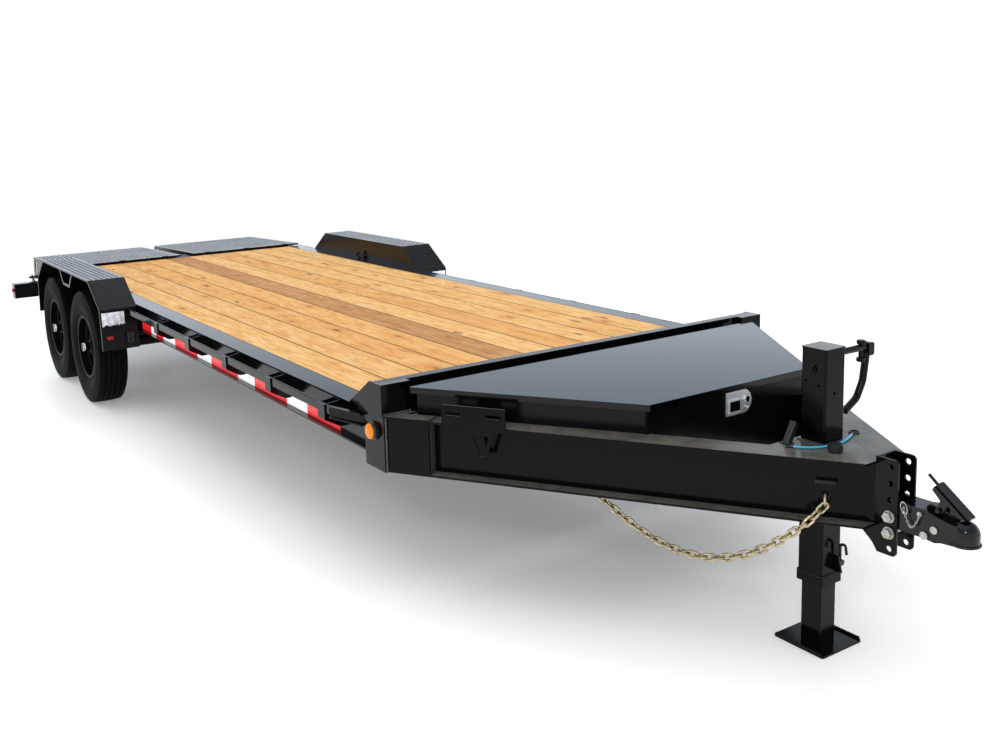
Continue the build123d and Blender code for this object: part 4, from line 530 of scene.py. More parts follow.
def reflective_film(name, colour, cell):
    # The emission is a painted glow standing for the tape's bright return of light.
    material, tree, shader, place = new_material(name, colour, 0.35, Emission_Color=colour, Emission_Strength=0.55)
    prisms = add(tree, "TexVoronoi", {"Vector": place, "Scale": 240.0, "Randomness": 0.15}, feature="DISTANCE_TO_EDGE")
    fill(tree, shader, {"Base Color": add(tree, "ValToRGB", {"Fac": prisms}, stops=[(0.02, cell), (0.16, colour)]),
                        "Normal": add(tree, "Bump", {"Height": prisms, "Distance": 0.0002})})
    return material


def moulded(name, colour, roughness, grain=600.0):
    material, tree, shader, place = new_material(name, colour, roughness)
    skin = add(tree, "TexNoise", {"Vector": place, "Scale": grain, "Detail": 2.0})
    texture(tree, shader, skin, roughness - 0.08, roughness + 0.1, skin, 0.0001)
    return material


amber = lens("amber_acrylic", "#F78F05", "#B85400")
red = lens("red_acrylic", "#C2161A", "#5E0508")
film_red = reflective_film("red_reflective_film", "#E0252A", "#C41B20")
film_white = reflective_film("white_reflective_film", "#F1F3F5", "#DADEE3")
plastic = moulded("black_moulded_plastic", "#101011", 0.42)
blue_sleeve = moulded("blue_vinyl_sleeve", "#2FB0DC", 0.22, 200.0)
print("plastics:", amber.name, red.name, film_red.name, plastic.name)

# %% [markdown]
# ## Give every CAD node its finish
# The CAD nodes keep their meshes and only get materials. Most of the frame is enamel, so the list names the
# exceptions, and what hangs under the deck gets the duller chassis paint.

# %% Finish of each CAD node
FINISHES = (
    (pine, ("deck_boards",)),
    (cast_black, ("coupler", "jack_pull_pin")),
    (zinc, ("coupler_hardware",)),
    (yellow_zinc, ("safety_chains",)),
    (box_enamel, ("toolbox",)),
    (lid_enamel, ("toolbox_lid",)),
    (stainless, ("toolbox_latch",)),
    (plastic, ("breakaway_switch", "marker_lights")),
    (blue_sleeve, ("breakaway_cable",)),
    (red, ("tail_lights",)),
    (tread_enamel, ("fender_left", "fender_right", "ramp_left", "ramp_right")),
    (chassis_enamel, ("axles", "leaf_springs", "spring_hangers", "crossmembers")),
    # These parts get dust and a painted reflection on their tops.
    (dust_and_reflection_enamel, ("tongue_beam_left", "tongue_beam_right", "nose_plate", "knees", "slotted_plate", "jack_housing")),
)
finish = {name: material for material, names in FINISHES for name in names}
for wheel, material in rubber.items():
    finish[f"tyre_{wheel}"] = material
    finish[f"wheel_{wheel}"] = wheel_enamel
for name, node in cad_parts.items():
    node.data.materials.clear()
    node.data.materials.append(finish.get(name, frame_enamel))
print("finished nodes:", len(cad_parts), "of them not plain enamel:", len(finish))

# %% [markdown]
# ## Helpers for the added pieces
# Everything that is added is built the same way: a bmesh is opened, operators shape it, and it becomes an
# object that rides on one CAD body. Its place is in its mesh and the object stays at the origin.

# %% From bmesh to a riding piece
def close_mesh(name, shape):
    """Turn a bmesh into a mesh and free it."""
    mesh = bpy.data.meshes.new(name)
    shape.to_mesh(mesh)
    shape.free()
    return mesh


def piece(name, shape, material, body="frame", smooth=False):
    """Close a bmesh into an object with a material and a body to ride on."""
    bmesh.ops.recalc_face_normals(shape, faces=shape.faces)
    mesh = close_mesh(name, shape)
    for face in mesh.polygons:
        face.use_smooth = smooth
    mesh.materials.append(material)
    made = bpy.data.objects.new(name, mesh)
    bpy.context.collection.objects.link(made)
    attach(made, body)


print("piece helper ready")

# %% [markdown]
# Small things that repeat, such as nuts, screws and weld scales, are made once and stamped at every place.
# Most other small things are boxes with softened edges, because no real edge is perfectly sharp. Two quarter
# turns lay an upright cone across the trailer, about X, or along it, about Y.

# %% Stamps, boxes and quarter turns
ABOUT_X = Matrix.Rotation(math.radians(90), 4, "X")
ABOUT_Y = Matrix.Rotation(math.radians(90), 4, "Y")


def stamp(shape, stud, places):
    """Add a copy of a small mesh at each place."""
    for place in places:
        stud.transform(place)
        shape.from_mesh(stud)
        stud.transform(place.inverted())


def cuboid(shape, low, high, soften=0.0):
    """A box between two corners with softened edges."""
    low, high = Vector(low), Vector(high)
    made = bmesh.ops.create_cube(shape, size=1.0)["verts"]
    bmesh.ops.scale(shape, vec=high - low, verts=made)
    bmesh.ops.translate(shape, vec=(low + high) / 2, verts=made)
    if soften:
        edges = list({edge for vert in made for edge in vert.link_edges})
        bmesh.ops.bevel(shape, geom=edges, offset=soften, affect="EDGES", segments=2, profile=0.5, material=-1)


print("stamp and box ready")

# %% [markdown]
# ## Breakaway cable
# The short blue cable pulls the trailer's brakes on if the coupler comes off. It is steel rope in a vinyl
# sleeve, stiff enough to stand in one smooth bow round the jack. A NURBS curve through the CAD route gives
# that bow without corners.

# %% Blue cable round the jack
CABLE_ROUTE = ((1.222, -0.146), (1.260, -0.118), (1.284, -0.076), (1.292, -0.026), (1.289, 0.026), (1.276, 0.074),
               (1.258, 0.112))
CABLE_HEIGHT = DECK_TOP + 0.0043
line = bpy.data.curves.new("blue_cable", "CURVE")
line.dimensions = "3D"
spline = line.splines.new("NURBS")
spline.points.add(len(CABLE_ROUTE) - 1)
for point, (ahead, across) in zip(spline.points, CABLE_ROUTE):
    point.co = (DECK_FRONT + ahead, across, CABLE_HEIGHT, 1)
spline.order_u = 3
spline.use_endpoint_u = True
line.resolution_u = 16
line.bevel_depth = 0.004
line.bevel_resolution = 4
cable = bpy.data.objects.new("blue_cable", line)
bpy.context.collection.objects.link(cable)
line.materials.append(blue_sleeve)
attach(cable, "frame")
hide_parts("breakaway_cable")
print("cable control points:", len(CABLE_ROUTE))

# %% [markdown]
# ## Tread plate
# Fenders and ramps are rolled tread plate: small raised lozenges, about 26 mm long, 8 mm wide and 1.5 mm
# high, in rows that turn by a right angle from one to the next. Relief in the shader would look flat at the
# glancing angle at which a deck is seen, so the lozenges are real. There are over two thousand, so each one
# is only an eight-sided cone with its tip cut off and its underside left out.

# %% One lozenge
def lozenge_stud(length=0.026, width=0.008, height=0.0016):
    shape = bmesh.new()
    bmesh.ops.create_cone(shape, cap_ends=True, cap_tris=False, segments=8, radius1=0.5, radius2=0.3, depth=1.0)
    bmesh.ops.translate(shape, vec=(0, 0, 0.42), verts=shape.verts)
    bmesh.ops.scale(shape, vec=(length, width, height), verts=shape.verts)
    base = [face for face in shape.faces if face.normal.z < -0.9]
    bmesh.ops.delete(shape, geom=base, context="FACES_ONLY")
    return close_mesh("lozenge", shape)


lozenge = lozenge_stud()
print("lozenge faces:", len(lozenge.polygons))

# %% [markdown]
# The lozenges stand 33.5 mm apart in both directions, centred on their panel, and neighbours are turned 45
# degrees to opposite sides. A panel is told by its corner, two directions and two lengths, so one function
# serves flat tops and slopes alike.

# %% Tread on a flat panel
TREAD_PITCH = 0.0335
TREAD_MARGIN = 0.02


def tread_places(origin, along, across, length, width):
    """Places of the lozenges on a panel that starts at origin and runs along and across."""
    up = along.cross(across).normalized()
    turn = Matrix((along, across, up)).transposed().to_4x4()
    columns, rows = (int((size - TREAD_MARGIN) / TREAD_PITCH) for size in (length, width))
    corner = origin + along * (length - (columns - 1) * TREAD_PITCH) / 2
    corner += across * (width - (rows - 1) * TREAD_PITCH) / 2
    places = []
    for i in range(columns):
        for j in range(rows):
            middle = corner + (along * i * TREAD_PITCH + across * j * TREAD_PITCH)
            angle = math.radians(45 if (i + j) % 2 else -45)
            places.append(Matrix.Translation(middle) @ turn @ Matrix.Rotation(angle, 4, "Z"))
    return places


def tread_panel(name, panels, body):
    shape = bmesh.new()
    places = [place for panel in panels for place in tread_places(*panel)]
    stamp(shape, lozenge, places)
    # The lozenges get wear and a painted blue-grey sheen.
    piece(name, shape, wear_and_sheen_enamel, body)
    print(name, "lozenges", len(places))


print("tread pitch (mm):", TREAD_PITCH * 1000)

# %% [markdown]
# A fender is one plate, folded down at both ends, so its tread lies on three panels: the flat top and two
# steep ends that start at the bend, just under the deck's height. A ramp is one panel that stands over its
# hinge and rises a little forwards. Its tread rides on the ramp's own body and so swings with it.

# %% Tread on fenders and ramps
FENDER_TOP_HALF, FENDER_BASE_HALF = 0.665, 0.905
FENDER_INNER, FENDER_OUTER = 1.062, 1.295
FENDER_WIDTH = FENDER_OUTER - FENDER_INNER
BEND_HEIGHT = DECK_TOP - 0.009
RAMP_INNER, RAMP_OUTER = 0.058, 1.040
RAMP_LENGTH, RAMP_TILT = 1.122, math.radians(1.7)
HINGE_BACK, HINGE_DROP = 6.452, 0.190
PLATE_START, PLATE_RISE = 0.012, 0.178
FORWARD, LEFTWARD = Vector((1, 0, 0)), Vector((0, 1, 0))
for side, sign in SIDES:
    low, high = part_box(f"fender_{side}")
    middle, top = (low[0] + high[0]) / 2, high[2]
    y = -FENDER_OUTER if sign < 0 else FENDER_INNER
    fold = Vector((FENDER_TOP_HALF - FENDER_BASE_HALF, 0, top - BEND_HEIGHT))
    panels = [(Vector((middle - FENDER_TOP_HALF, y, top)), FORWARD, LEFTWARD, 2 * FENDER_TOP_HALF, FENDER_WIDTH)]
    for way in (1, -1):
        start = Vector((middle + way * FENDER_BASE_HALF, y + (FENDER_WIDTH if way > 0 else 0), BEND_HEIGHT))
        along = Vector((way * fold.x, 0, fold.z)).normalized()
        panels.append((start, along, LEFTWARD * -way, fold.length, FENDER_WIDTH))
    tread_panel(f"fender_tread_{side}", panels, "frame")
    y = RAMP_INNER if sign > 0 else -RAMP_OUTER
    along = Vector((math.cos(RAMP_TILT), 0, math.sin(RAMP_TILT)))
    hinge = Vector((DECK_FRONT - HINGE_BACK, y, DECK_TOP - HINGE_DROP))
    start = hinge + along * PLATE_START + Vector((-along.z, 0, along.x)) * PLATE_RISE
    tread_panel(f"ramp_tread_{side}", [(start, along, LEFTWARD, RAMP_LENGTH, RAMP_OUTER - RAMP_INNER)],
                f"ramp_body_{side}")
print("tread panels: 4")

# %% [markdown]
# ## Reflective tape
# The law asks for red and white tape along the side. Here 390 mm of red follows 222 mm of white, after three
# offcuts at the wheels. It is stuck to the rail's web just above the bottom flange. Each length is a thin
# film of its own, so the colours meet in a clean edge as the real strips do.

# %% Tape along both rails
TAPE_RED, TAPE_WHITE, TAPE_TALL, TAPE_THICK = 0.390, 0.222, 0.046, 0.0006
TAPE_LENGTHS = (("red", 0.185), ("white", 0.092), ("red", 0.148)) + (("white", TAPE_WHITE), ("red", TAPE_RED)) * 6
TAPE_START, TAPE_END, TAPE_SHORTEST = DECK_FRONT - 3.21, DECK_FRONT - 0.40, 0.02
web_face = FRAME_HALF - 0.027
tape_low = DECK_TOP - 0.164
for side, sign in SIDES:
    colours = {"red": (film_red, bmesh.new()), "white": (film_white, bmesh.new())}
    x = TAPE_START
    y = sorted((sign * web_face, sign * (web_face + TAPE_THICK)))
    for kind, length in TAPE_LENGTHS:
        if x < TAPE_END - TAPE_SHORTEST:
            end = min(x + length, TAPE_END)
            cuboid(colours[kind][1], (x, y[0], tape_low + 0.001), (end, y[1], tape_low + TAPE_TALL), 0.0002)
            x = end
    for kind, (material, shape) in colours.items():
        piece(f"tape_{kind}_{side}", shape, material)
print("tape ends at", round(x, 3))

# %% [markdown]
# ## Deck screws
# Each board is held to each crossmember by two self-drilling screws. Their heads sit a little below the
# surface and their plating has gone dark, so from the side they read as small dark dots in rows. Nobody
# drives a screw exactly on the line, so each one is a few millimetres off it.

# %% Screw heads
SCREW_ROWS = 9
FIRST_ROW, LAST_ROW = DECK_FRONT - 0.542, DECK_REAR + 0.020
head = bmesh.new()
bmesh.ops.create_cone(head, cap_ends=True, segments=10, radius1=0.0036, radius2=0.0028, depth=0.0012)
head = close_mesh("screw", head)
rng = random.Random(7)
places = []
for row in range(SCREW_ROWS):
    x = FIRST_ROW + (LAST_ROW - FIRST_ROW) * row / (SCREW_ROWS - 1)
    for board in range(BOARD_COUNT):
        for share in (0.22, 0.78):
            y = -RAIL_INNER + BOARD_PITCH * (board + share) + rng.uniform(-0.006, 0.006)
            places.append(Matrix.Translation((x + rng.uniform(-0.008, 0.008), y, DECK_TOP - 0.0001)))
screws = bmesh.new()
stamp(screws, head, places)
piece("deck_screws", screws, zinc_dull)
print("screws:", len(places))

# %% [markdown]
# ## Hub caps and wheel nuts
# The hub cap is a bright pressed cup with a rolled lip. A profile spun round the axle makes the cup in one
# operation, and it stands a hair proud of the CAD cap. The nuts are sprayed with the wheel, so they are
# black six-sided prisms with softened edges, one over each stud.

# %% Spun cap and nuts on every wheel
CAP_PROFILE = ((0.064, 0.0306), (0.100, 0.0304), (0.1065, 0.0268), (0.1098, 0.0215), (0.1098, 0.0))
STUDS, STUD_CIRCLE, NUT_OUT = 8, 0.0825, 0.018


def spun(shape, profile, middle, out):
    """Spin a profile of (distance outwards, radius) points round a line across the trailer."""
    verts = [shape.verts.new(Vector((0, out * along, radius)) + middle) for along, radius in profile]
    edges = [shape.edges.new(pair) for pair in zip(verts, verts[1:])]
    bmesh.ops.spin(shape, geom=verts + edges, cent=middle, axis=(0, 1, 0), angle=2 * math.pi, steps=40,
                   use_merge=True)
    bmesh.ops.remove_doubles(shape, verts=shape.verts, dist=0.00001)


nut = bmesh.new()
bmesh.ops.create_cone(nut, cap_ends=True, segments=6, radius1=0.0125, radius2=0.0125, depth=0.020)
bmesh.ops.bevel(nut, geom=nut.edges[:], offset=0.0012, affect="EDGES", segments=1, profile=0.5, material=-1)
nut = close_mesh("nut", nut)
for wheel, axle in WHEELS.items():
    out = 1 if axle.y > 0 else -1
    cap = bmesh.new()
    spun(cap, CAP_PROFILE, axle, out)
    piece(f"hub_cap_{wheel}", cap, hub_steel, f"wheel_assembly_{wheel}", smooth=True)
    places = []
    for i in range(STUDS):
        angle = math.radians(360 * (i + 0.5) / STUDS)
        spot = Vector((math.sin(angle) * STUD_CIRCLE, out * NUT_OUT, math.cos(angle) * STUD_CIRCLE))
        places.append(Matrix.Translation(axle + spot) @ ABOUT_X)
    nuts = bmesh.new()
    stamp(nuts, nut, places)
    piece(f"wheel_nuts_{wheel}", nuts, chassis_enamel, f"wheel_assembly_{wheel}")
print("hub caps:", len(WHEELS))

# %% [markdown]
# ## Weld beads
# The frame is welded, and a weld is a row of small overlapping scales, each left by one pause of the torch.
# A row of flattened spheres, 5 mm apart, gives exactly that, and paint rounds it off. Beads run up the edge
# of each knee, along its top, and round the foot of the jack.

# %% Beads along the seams
KNEE_FRONT = 0.042
SCALE_PITCH = 0.005


def weld(name, runs, radius=0.0045):
    scale = bmesh.new()
    bmesh.ops.create_icosphere(scale, subdivisions=1, radius=1.0)
    bmesh.ops.scale(scale, vec=(radius * 0.95, radius, radius), verts=scale.verts)
    scale = close_mesh("weld_scale", scale)
    rng = random.Random(len(name))
    places = []
    for start, end in runs:
        start, end = Vector(start), Vector(end)
        run = end - start
        count = max(2, int(run.length / SCALE_PITCH))
        turn = run.to_track_quat("X", "Z").to_matrix().to_4x4()
        for i in range(count + 1):
            size = rng.uniform(0.85, 1.12)
            places.append(Matrix.Translation(start + run * i / count) @ turn @ Matrix.Scale(size, 4))
    shape = bmesh.new()
    stamp(shape, scale, places)
    piece(name, shape, weld_enamel, smooth=True)
    print(name, "scales", len(places))


upright = [((DECK_FRONT + KNEE_FRONT + 0.001, sign * (FRAME_HALF - 0.002), DECK_TOP - 0.215),
            (DECK_FRONT + KNEE_FRONT + 0.001, sign * (FRAME_HALF - 0.002), DECK_TOP - 0.003)) for sign in (-1, 1)]
level = [((DECK_FRONT + 0.034, sign * (FRAME_HALF - 0.118), DECK_TOP + 0.008),
          (DECK_FRONT + 0.034, sign * (FRAME_HALF - 0.004), DECK_TOP + 0.008)) for sign in (-1, 1)]
weld("knee_welds", upright + level, radius=0.006)

# %% [markdown]
# Each knee's side plate is folded back on itself where it ends on the tongue's beam. A sheet 2 mm thick in a
# lighter grey paint is laid on the return plate as painted light, so that it reads brighter than the gloss
# paint round it. It is set in the beam's own line and then turned with it, which is simpler than working out
# its slanted corners.

# %% Return plates of the knees, with painted light
RETURN_REACH = 0.178
returns = bmesh.new()
for sign in (-1, 1):
    start = KNEE_FRONT / math.cos(TONGUE_ANGLE) + RETURN_REACH
    near, far = sorted((-sign * 0.010, -sign * 0.049))
    plate = bmesh.new()
    cuboid(plate, (start + 0.0005, near, DECK_TOP - 0.208), (start + 0.0025, far, DECK_TOP - 0.010), 0.0006)
    root = Matrix.Translation((DECK_FRONT, sign * (FRAME_HALF + TONGUE_ROOT), 0))
    turn = root @ Matrix.Rotation(-sign * TONGUE_ANGLE, 4, "Z")
    bmesh.ops.transform(plate, verts=plate.verts, matrix=turn)
    returns.from_mesh(close_mesh("return_plate", plate))
# The lighter grey sheet on each return plate is painted light.
piece("knee_returns", returns, painted_light_return_enamel)
print("return plates: 2")

# %% [markdown]
# The jack's tube passes through the nose plate and is welded to it all round, four runs on a square.

# %% Beads round the foot of the jack
low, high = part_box("jack_housing")
nose_top = DECK_TOP + 0.001
foot = [(low[0], -0.057), (high[0], -0.057), (high[0], 0.053), (low[0], 0.053)]
runs = [((x0, y0, nose_top), (x1, y1, nose_top)) for (x0, y0), (x1, y1) in zip(foot, foot[1:] + foot[:1])]
weld("jack_welds", runs)

# %% [markdown]
# ## Marker lamps
# Law asks for an amber lamp at the front corner. It is a moulded dome pushed into a black rubber ring; the
# ring is in the CAD, so only the dome is added. Domes are turned shapes, and a spin makes them.

# %% Amber domes
DOME_PROFILE = ((0.0, 0.031), (0.003, 0.031), (0.007, 0.0285), (0.0105, 0.022), (0.0125, 0.012), (0.013, 0.0))
low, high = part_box("marker_lights")
for side, sign in SIDES:
    middle = Vector(((low[0] + high[0]) / 2, sign * (high[1] - 0.003), (low[2] + high[2]) / 2))
    dome = bmesh.new()
    spun(dome, DOME_PROFILE, middle, sign)
    piece(f"marker_dome_{side}", dome, amber, smooth=True)
print("marker domes: 2")

# %% [markdown]
# ## What sits on the fender's front plate
# Over the bend of the fender's front plate, a bright sheet stands for a painted highlight: the bright
# reflection that the glossy tread plate shows here. It is crumpled, with a torn lower edge, so that the
# highlight fades out raggedly. A fine grid is creased by two slow waves and roughened at random, and only its
# lowest row is torn.

# %% A crumpled sheet as a painted highlight
FENDER_FRONT = DECK_FRONT - 3.200
FENDER_LEAN = 0.022 / 0.26
HIGHLIGHT_MIDDLE, HIGHLIGHT_WIDTH, HIGHLIGHT_TALL = 1.214, 0.142, 0.082


# A bright crumpled sheet that stands for a painted highlight on the fender's front plate.
def painted_highlight_sheet(sign):
    rng = random.Random(31)
    highlight_patch = bmesh.new()
    bmesh.ops.create_grid(highlight_patch, x_segments=26, y_segments=12, size=0.5)
    for vert in highlight_patch.verts:
        across, up = vert.co.x, vert.co.y
        crease = 0.0008 * math.sin(across * 15 + up * 5) * math.sin(up * 7 - across * 6) + rng.uniform(0, 0.0004)
        drop = 0.020 + (0.5 - up) * HIGHLIGHT_TALL
        if up < -0.45:
            drop += rng.uniform(-0.010, 0.006)
        x = FENDER_FRONT + drop * FENDER_LEAN + 0.0024 + crease
        vert.co = Vector((x, sign * (HIGHLIGHT_MIDDLE + across * HIGHLIGHT_WIDTH), BEND_HEIGHT - drop))
    return highlight_patch


# The crumpled sheet is a painted highlight.
print("stone guard ready")

# %% [markdown]
# Below the painted highlight sheet sit a small red lamp and the black plugs of the wiring: softened blocks,
# and two stubby cones for the plugs' collars.

# %% Painted highlight sheet, side lamp and plugs
LAMP_HEIGHT = DECK_TOP - 0.189
LAMP_FACE = FENDER_FRONT + (BEND_HEIGHT - LAMP_HEIGHT) * FENDER_LEAN
for side, sign in SIDES:
    # The bright sheet is a painted highlight over the bend.
    piece(f"painted_highlight_sheet_{side}", painted_highlight_sheet(sign), bright_sheet)
    lamp = bmesh.new()
    y = sorted((sign * 1.226, sign * 1.262))
    cuboid(lamp, (LAMP_FACE, y[0], LAMP_HEIGHT - 0.010), (LAMP_FACE + 0.012, y[1], LAMP_HEIGHT + 0.010), 0.002)
    piece(f"side_lamp_{side}", lamp, red)
    plugs = bmesh.new()
    y = sorted((sign * 1.100, sign * 1.142))
    cuboid(plugs, (LAMP_FACE, y[0], LAMP_HEIGHT - 0.040), (LAMP_FACE + 0.030, y[1], LAMP_HEIGHT + 0.030), 0.004)
    for height in (-0.022, 0.012):
        collar = Matrix.Translation((LAMP_FACE + 0.040, sign * 1.121, LAMP_HEIGHT + height)) @ ABOUT_Y
        bmesh.ops.create_cone(plugs, cap_ends=True, segments=20, radius1=0.012, radius2=0.010, depth=0.030,
                              matrix=collar)
    piece(f"wiring_plugs_{side}", plugs, plastic)
print("fender front pieces: 6")

# %% [markdown]
# ## Toolbox latch
# The latch is a pressed stainless pan: a rim is folded up round the paddle, and beside it sit the turned
# barrel of the lock and a rivet. Softened bars make the rim, and cones with nearly equal ends make the other
# two. The hollow behind the paddle is always in shade, and a thin dark plate stands for it.

# %% Rim, lock barrel and pocket
RIM = 0.005
low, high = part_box("toolbox_latch")
face, back, paddle_face = low[0] + 0.004, low[0] + 0.0075, low[0] + 0.0102
y0, y1, z0, z1 = -0.019, 0.049, low[2] + 0.009, low[2] + 0.063
latch = bmesh.new()
for bar_low, bar_high in (((y0, z0), (y1, z0 + RIM)), ((y0, z1 - RIM), (y1, z1)),
                          ((y0, z0 + RIM), (y0 + RIM, z1 - RIM)), ((y1 - RIM, z0 + RIM), (y1, z1 - RIM))):
    cuboid(latch, (face, *bar_low), (back, *bar_high), 0.001)
for y, z, radius in ((0.080, low[2] + 0.054, 0.0125), (0.084, low[2] + 0.020, 0.005)):
    bmesh.ops.create_cone(latch, cap_ends=True, segments=24, radius1=radius, radius2=radius * 0.85, depth=0.005,
                          matrix=Matrix.Translation((face + 0.0055, y, z)) @ ABOUT_Y)
piece("latch_rim", latch, bright_sheet)
pocket = bmesh.new()
cuboid(pocket, (paddle_face, -0.011, low[2] + 0.017), (paddle_face + 0.0008, 0.041, low[2] + 0.055), 0.0003)
piece("latch_pocket", pocket, cast_black)
print("latch rim bars: 4")

# %% [markdown]
# ## Coupler safety clip
# A bent wire clip locks the coupler's latch, and a thin chain keeps it from getting lost. Both are bent
# from round wire, so one function makes a ring of it: a small circle spun round the origin.

# %% A ring of wire
def wire_ring(shape, radius, wire, steps):
    """A ring of round wire that lies flat round the origin."""
    section = bmesh.ops.create_circle(shape, segments=8, radius=wire,
                                      matrix=Matrix.Translation((radius, 0, 0)) @ ABOUT_X)["verts"]
    edges = list({edge for vert in section for edge in vert.link_edges})
    bmesh.ops.spin(shape, geom=section + edges, cent=(0, 0, 0), axis=(0, 0, 1), angle=2 * math.pi, steps=steps,
                   use_merge=True)
    bmesh.ops.remove_doubles(shape, verts=shape.verts, dist=0.00001)


print("wire ring ready")

# %% [markdown]
# Each link of the chain is a ring pulled out to an oval, and every second link is turned on edge. The chain
# hangs in a bow between its two ends, and every link lies along the bow. The clip is a larger oval ring,
# with a short pin through the latch.

# %% Clip and its thin chain
LINKS, LINK_RADIUS, LINK_LENGTH, SAG = 17, 0.003, 0.0085, 0.050
chain_start = Vector((DECK_FRONT + 1.574, -0.0515, 0.602))
chain_end = Vector((DECK_FRONT + 1.627, -0.0515, 0.598))
link = bmesh.new()
wire_ring(link, LINK_RADIUS, 0.0009, 14)
bmesh.ops.scale(link, vec=(LINK_LENGTH / (2 * LINK_RADIUS), 1, 1), verts=link.verts)
link = close_mesh("oval_link", link)
places = []
for i in range(LINKS):
    share = i / (LINKS - 1)
    spot = chain_start.lerp(chain_end, share) - Vector((0, 0, SAG * 4 * share * (1 - share)))
    slope = math.atan2(-SAG * 4 * (1 - 2 * share), (chain_end - chain_start).x)
    turn = Matrix.Rotation(-slope, 4, "Y") @ Matrix.Rotation(math.radians(90 * (i % 2) + 45), 4, "X")
    places.append(Matrix.Translation(spot) @ turn)
clip_chain = bmesh.new()
stamp(clip_chain, link, places)
piece("clip_chain", clip_chain, zinc, smooth=True)
clip = bmesh.new()
wire_ring(clip, 0.011, 0.0016, 28)
bmesh.ops.scale(clip, vec=(1.0, 1.7, 1.0), verts=clip.verts)
hang = Matrix.Translation(chain_start + Vector((0, 0, 0.002))) @ ABOUT_X @ Matrix.Rotation(math.radians(20), 4, "Z")
bmesh.ops.transform(clip, matrix=hang, verts=clip.verts)
bmesh.ops.create_cone(clip, cap_ends=True, segments=16, radius1=0.0045, radius2=0.0045, depth=0.016,
                      matrix=Matrix.Translation(chain_start + Vector((0, 0.003, -0.012))) @ ABOUT_X)
piece("safety_clip", clip, zinc, smooth=True)
print("clip chain links:", LINKS)

# %% [markdown]
# ## The trailer stands in a plain light room
# A pale floor, a broad soft light overhead and a pale sky: that is what gloss black needs, because it only
# shows what it mirrors. The floor is one square, too big for its edge to show. Close to the trailer it takes
# shadows like any floor; from there it glows more and more, like a lit studio sweep, and six metres to the
# side it is plain white. Both changes follow the distance from the trailer's middle, which counts for less
# along the trailer than across it, so they keep its long shape.

# %% Floor: shadow near the trailer, glow further off
FLOOR_HALF = 60.0


def distance(tree, place, lengthwise):
    """Distance from the middle over the floor, squeezed along the trailer."""
    flat = add(tree, "Mapping", {"Vector": place, "Scale": (lengthwise, 1.0, 0.0)})
    return add(tree, "VectorMath", {0: flat}, operation="LENGTH").outputs["Value"]


shape = bmesh.new()
bmesh.ops.create_grid(shape, x_segments=1, y_segments=1, size=FLOOR_HALF)
floor = bpy.data.objects.new("studio_floor", close_mesh("studio_floor", shape))
bpy.context.collection.objects.link(floor)
material, tree, shader, place = new_material("polished_white_floor", "#F7F7F7", 0.15, Specular_IOR_Level=0.08)
wiped = add(tree, "TexNoise", {"Vector": place, "Scale": 0.8, "Detail": 3.0})
lift = add(tree, "MapRange", {"Value": distance(tree, place, 0.30), "From Min": 0.8, "From Max": 2.0,
                              "To Min": 0.16, "To Max": 0.42}, interpolation_type="SMOOTHSTEP")
fill(tree, shader, {"Roughness": add(tree, "MapRange", {"Value": wiped, "To Min": 0.12, "To Max": 0.22}),
                    "Emission Color": (1, 1, 1, 1), "Emission Strength": lift})
far = add(tree, "MapRange", {"Value": distance(tree, place, 0.62), "From Min": 1.9, "From Max": 6.2},
          interpolation_type="SMOOTHSTEP")
glow = add(tree, "Emission", {"Color": (1, 1, 1, 1), "Strength": 1.0})
both = add(tree, "MixShader", {0: far, 1: shader, 2: glow})
fill(tree, tree.nodes["Material Output"], {"Surface": both})
floor.data.materials.append(material)
floor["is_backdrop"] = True
print("floor ready")

# %% [markdown]
# The sky does three jobs. The camera alone sees plain white behind the trailer. Gloss paint mirrors a sky
# twice as bright and a little blue, brightest just over the horizon and darker towards the top, and that is
# what draws the edges of black steel. Everything else is lit by a plain pale sky.

# %% Sky
world = bpy.data.worlds.new("studio")
bpy.context.scene.world = world
world.use_nodes = True
tree = world.node_tree
direction = add(tree, "TexCoord").outputs["Generated"]
up = add(tree, "SeparateXYZ", {"Vector": direction}).outputs["Z"]
height = add(tree, "MapRange", {"Value": up, "From Min": 0.0, "From Max": 1.0})
mirrored = add(tree, "ValToRGB", {"Fac": height}, stops=[
    (0.0, "#D8DCE0"), (0.05, "#DEE4EB"), (0.12, "#D6E0EC"), (0.17, "#DCE5EE"), (0.24, "#AEB9C5"), (0.32, "#A5B0BC"),
    (0.5, "#9EA6AF"), (1.0, "#828990")])
mirrored = add(tree, "MixRGB", {"Fac": 1.0, "Color1": mirrored, "Color2": (2.0, 2.0, 2.0, 1)}, blend_type="MULTIPLY")
lit = add(tree, "ValToRGB", {"Fac": height}, stops=[(0.0, "#D2D4D6"), (0.3, "#DDDFE1"), (1.0, "#EDEDED")])
path = add(tree, "LightPath")
colour = add(tree, "MixRGB", {"Fac": path.outputs["Is Glossy Ray"], "Color1": lit, "Color2": mirrored})
colour = add(tree, "MixRGB", {"Fac": path.outputs["Is Camera Ray"], "Color1": colour, "Color2": "#FFFFFF"})
fill(tree, tree.nodes["Background"], {"Color": colour, "Strength": 1.0})
print("sky ready")

# %% [markdown]
# Two soft lamps give the light a direction: a wide one overhead, for the shadow under the deck, and a small
# warm one in front that picks out the coupler and the toolbox. Each is turned to face its target.

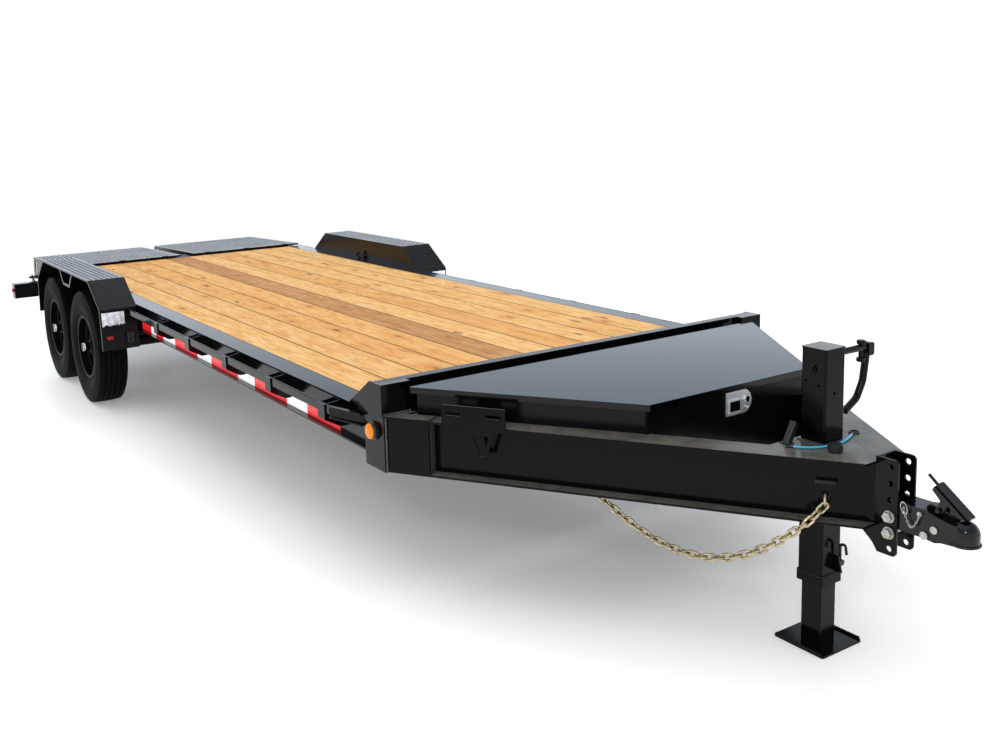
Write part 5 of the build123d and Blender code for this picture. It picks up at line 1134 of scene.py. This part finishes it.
# %% Soft lamps
def softbox(name, place, target, size, power, colour="#FFFFFF"):
    lamp = bpy.data.lights.new(name, "AREA")
    lamp.shape = "RECTANGLE"
    lamp.size, lamp.size_y = size
    lamp.energy = power
    lamp.color = linear(colour)[:3]
    made = bpy.data.objects.new(name, lamp)
    made.location = place
    made.rotation_euler = (Vector(target) - Vector(place)).to_track_quat("-Z", "Y").to_euler()
    bpy.context.collection.objects.link(made)


softbox("overhead", (-0.5, -0.5, 8.0), (-0.5, 0, 0.5), (16, 10), 360)
softbox("front_fill", (7.0, -5.0, 4.5), (2.5, 0, 0.7), (1.6, 1.0), 90, "#FFF8EE")
print("lamps ready")

# %% [markdown]
# ## Camera
# A long trailer is pictured from beside its coupler, a little above the deck, with a lens wide enough to
# take in the far end. The picture's middle isn't the lens's middle, so the camera has a small shift.

# %% Camera at the front right corner
CAMERA_PLACE = (DECK_FRONT + 3.4768, -2.9225, DECK_TOP + 1.1460)
CAMERA_YAW, CAMERA_PITCH, CAMERA_ROLL = 147.709, -8.712, -1.900


def look(place, yaw, pitch, roll):
    """Matrix of a camera that looks along yaw and pitch, in degrees, turned by roll."""
    yaw, pitch, roll = (math.radians(angle) for angle in (yaw, pitch, roll))
    ahead = Vector((math.cos(yaw) * math.cos(pitch), math.sin(yaw) * math.cos(pitch), math.sin(pitch)))
    right = ahead.cross(Vector((0, 0, 1))).normalized()
    up = right.cross(ahead)
    side = right * math.cos(roll) + up * math.sin(roll)
    top = up * math.cos(roll) - right * math.sin(roll)
    return Matrix.Translation(place) @ Matrix((side, top, -ahead)).transposed().to_4x4()


lens_data = bpy.data.cameras.new("camera")
lens_data.sensor_width = 36
lens_data.lens = 37.85
lens_data.shift_x, lens_data.shift_y = 0.0537, -0.1004
lens_data.clip_end = 200
camera = bpy.data.objects.new("camera", lens_data)
bpy.context.collection.objects.link(camera)
camera.matrix_world = look(CAMERA_PLACE, CAMERA_YAW, CAMERA_PITCH, CAMERA_ROLL)
bpy.context.scene.camera = camera
bpy.context.scene.view_settings.view_transform = "Standard"
print("camera at", [round(a, 2) for a in camera.location])

# %% [markdown]
# The last step measures the finished look and prints its size.

# %% Sizes and the end
low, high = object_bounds()
print("visual size (m):", [round(a, 3) for a in high - low])
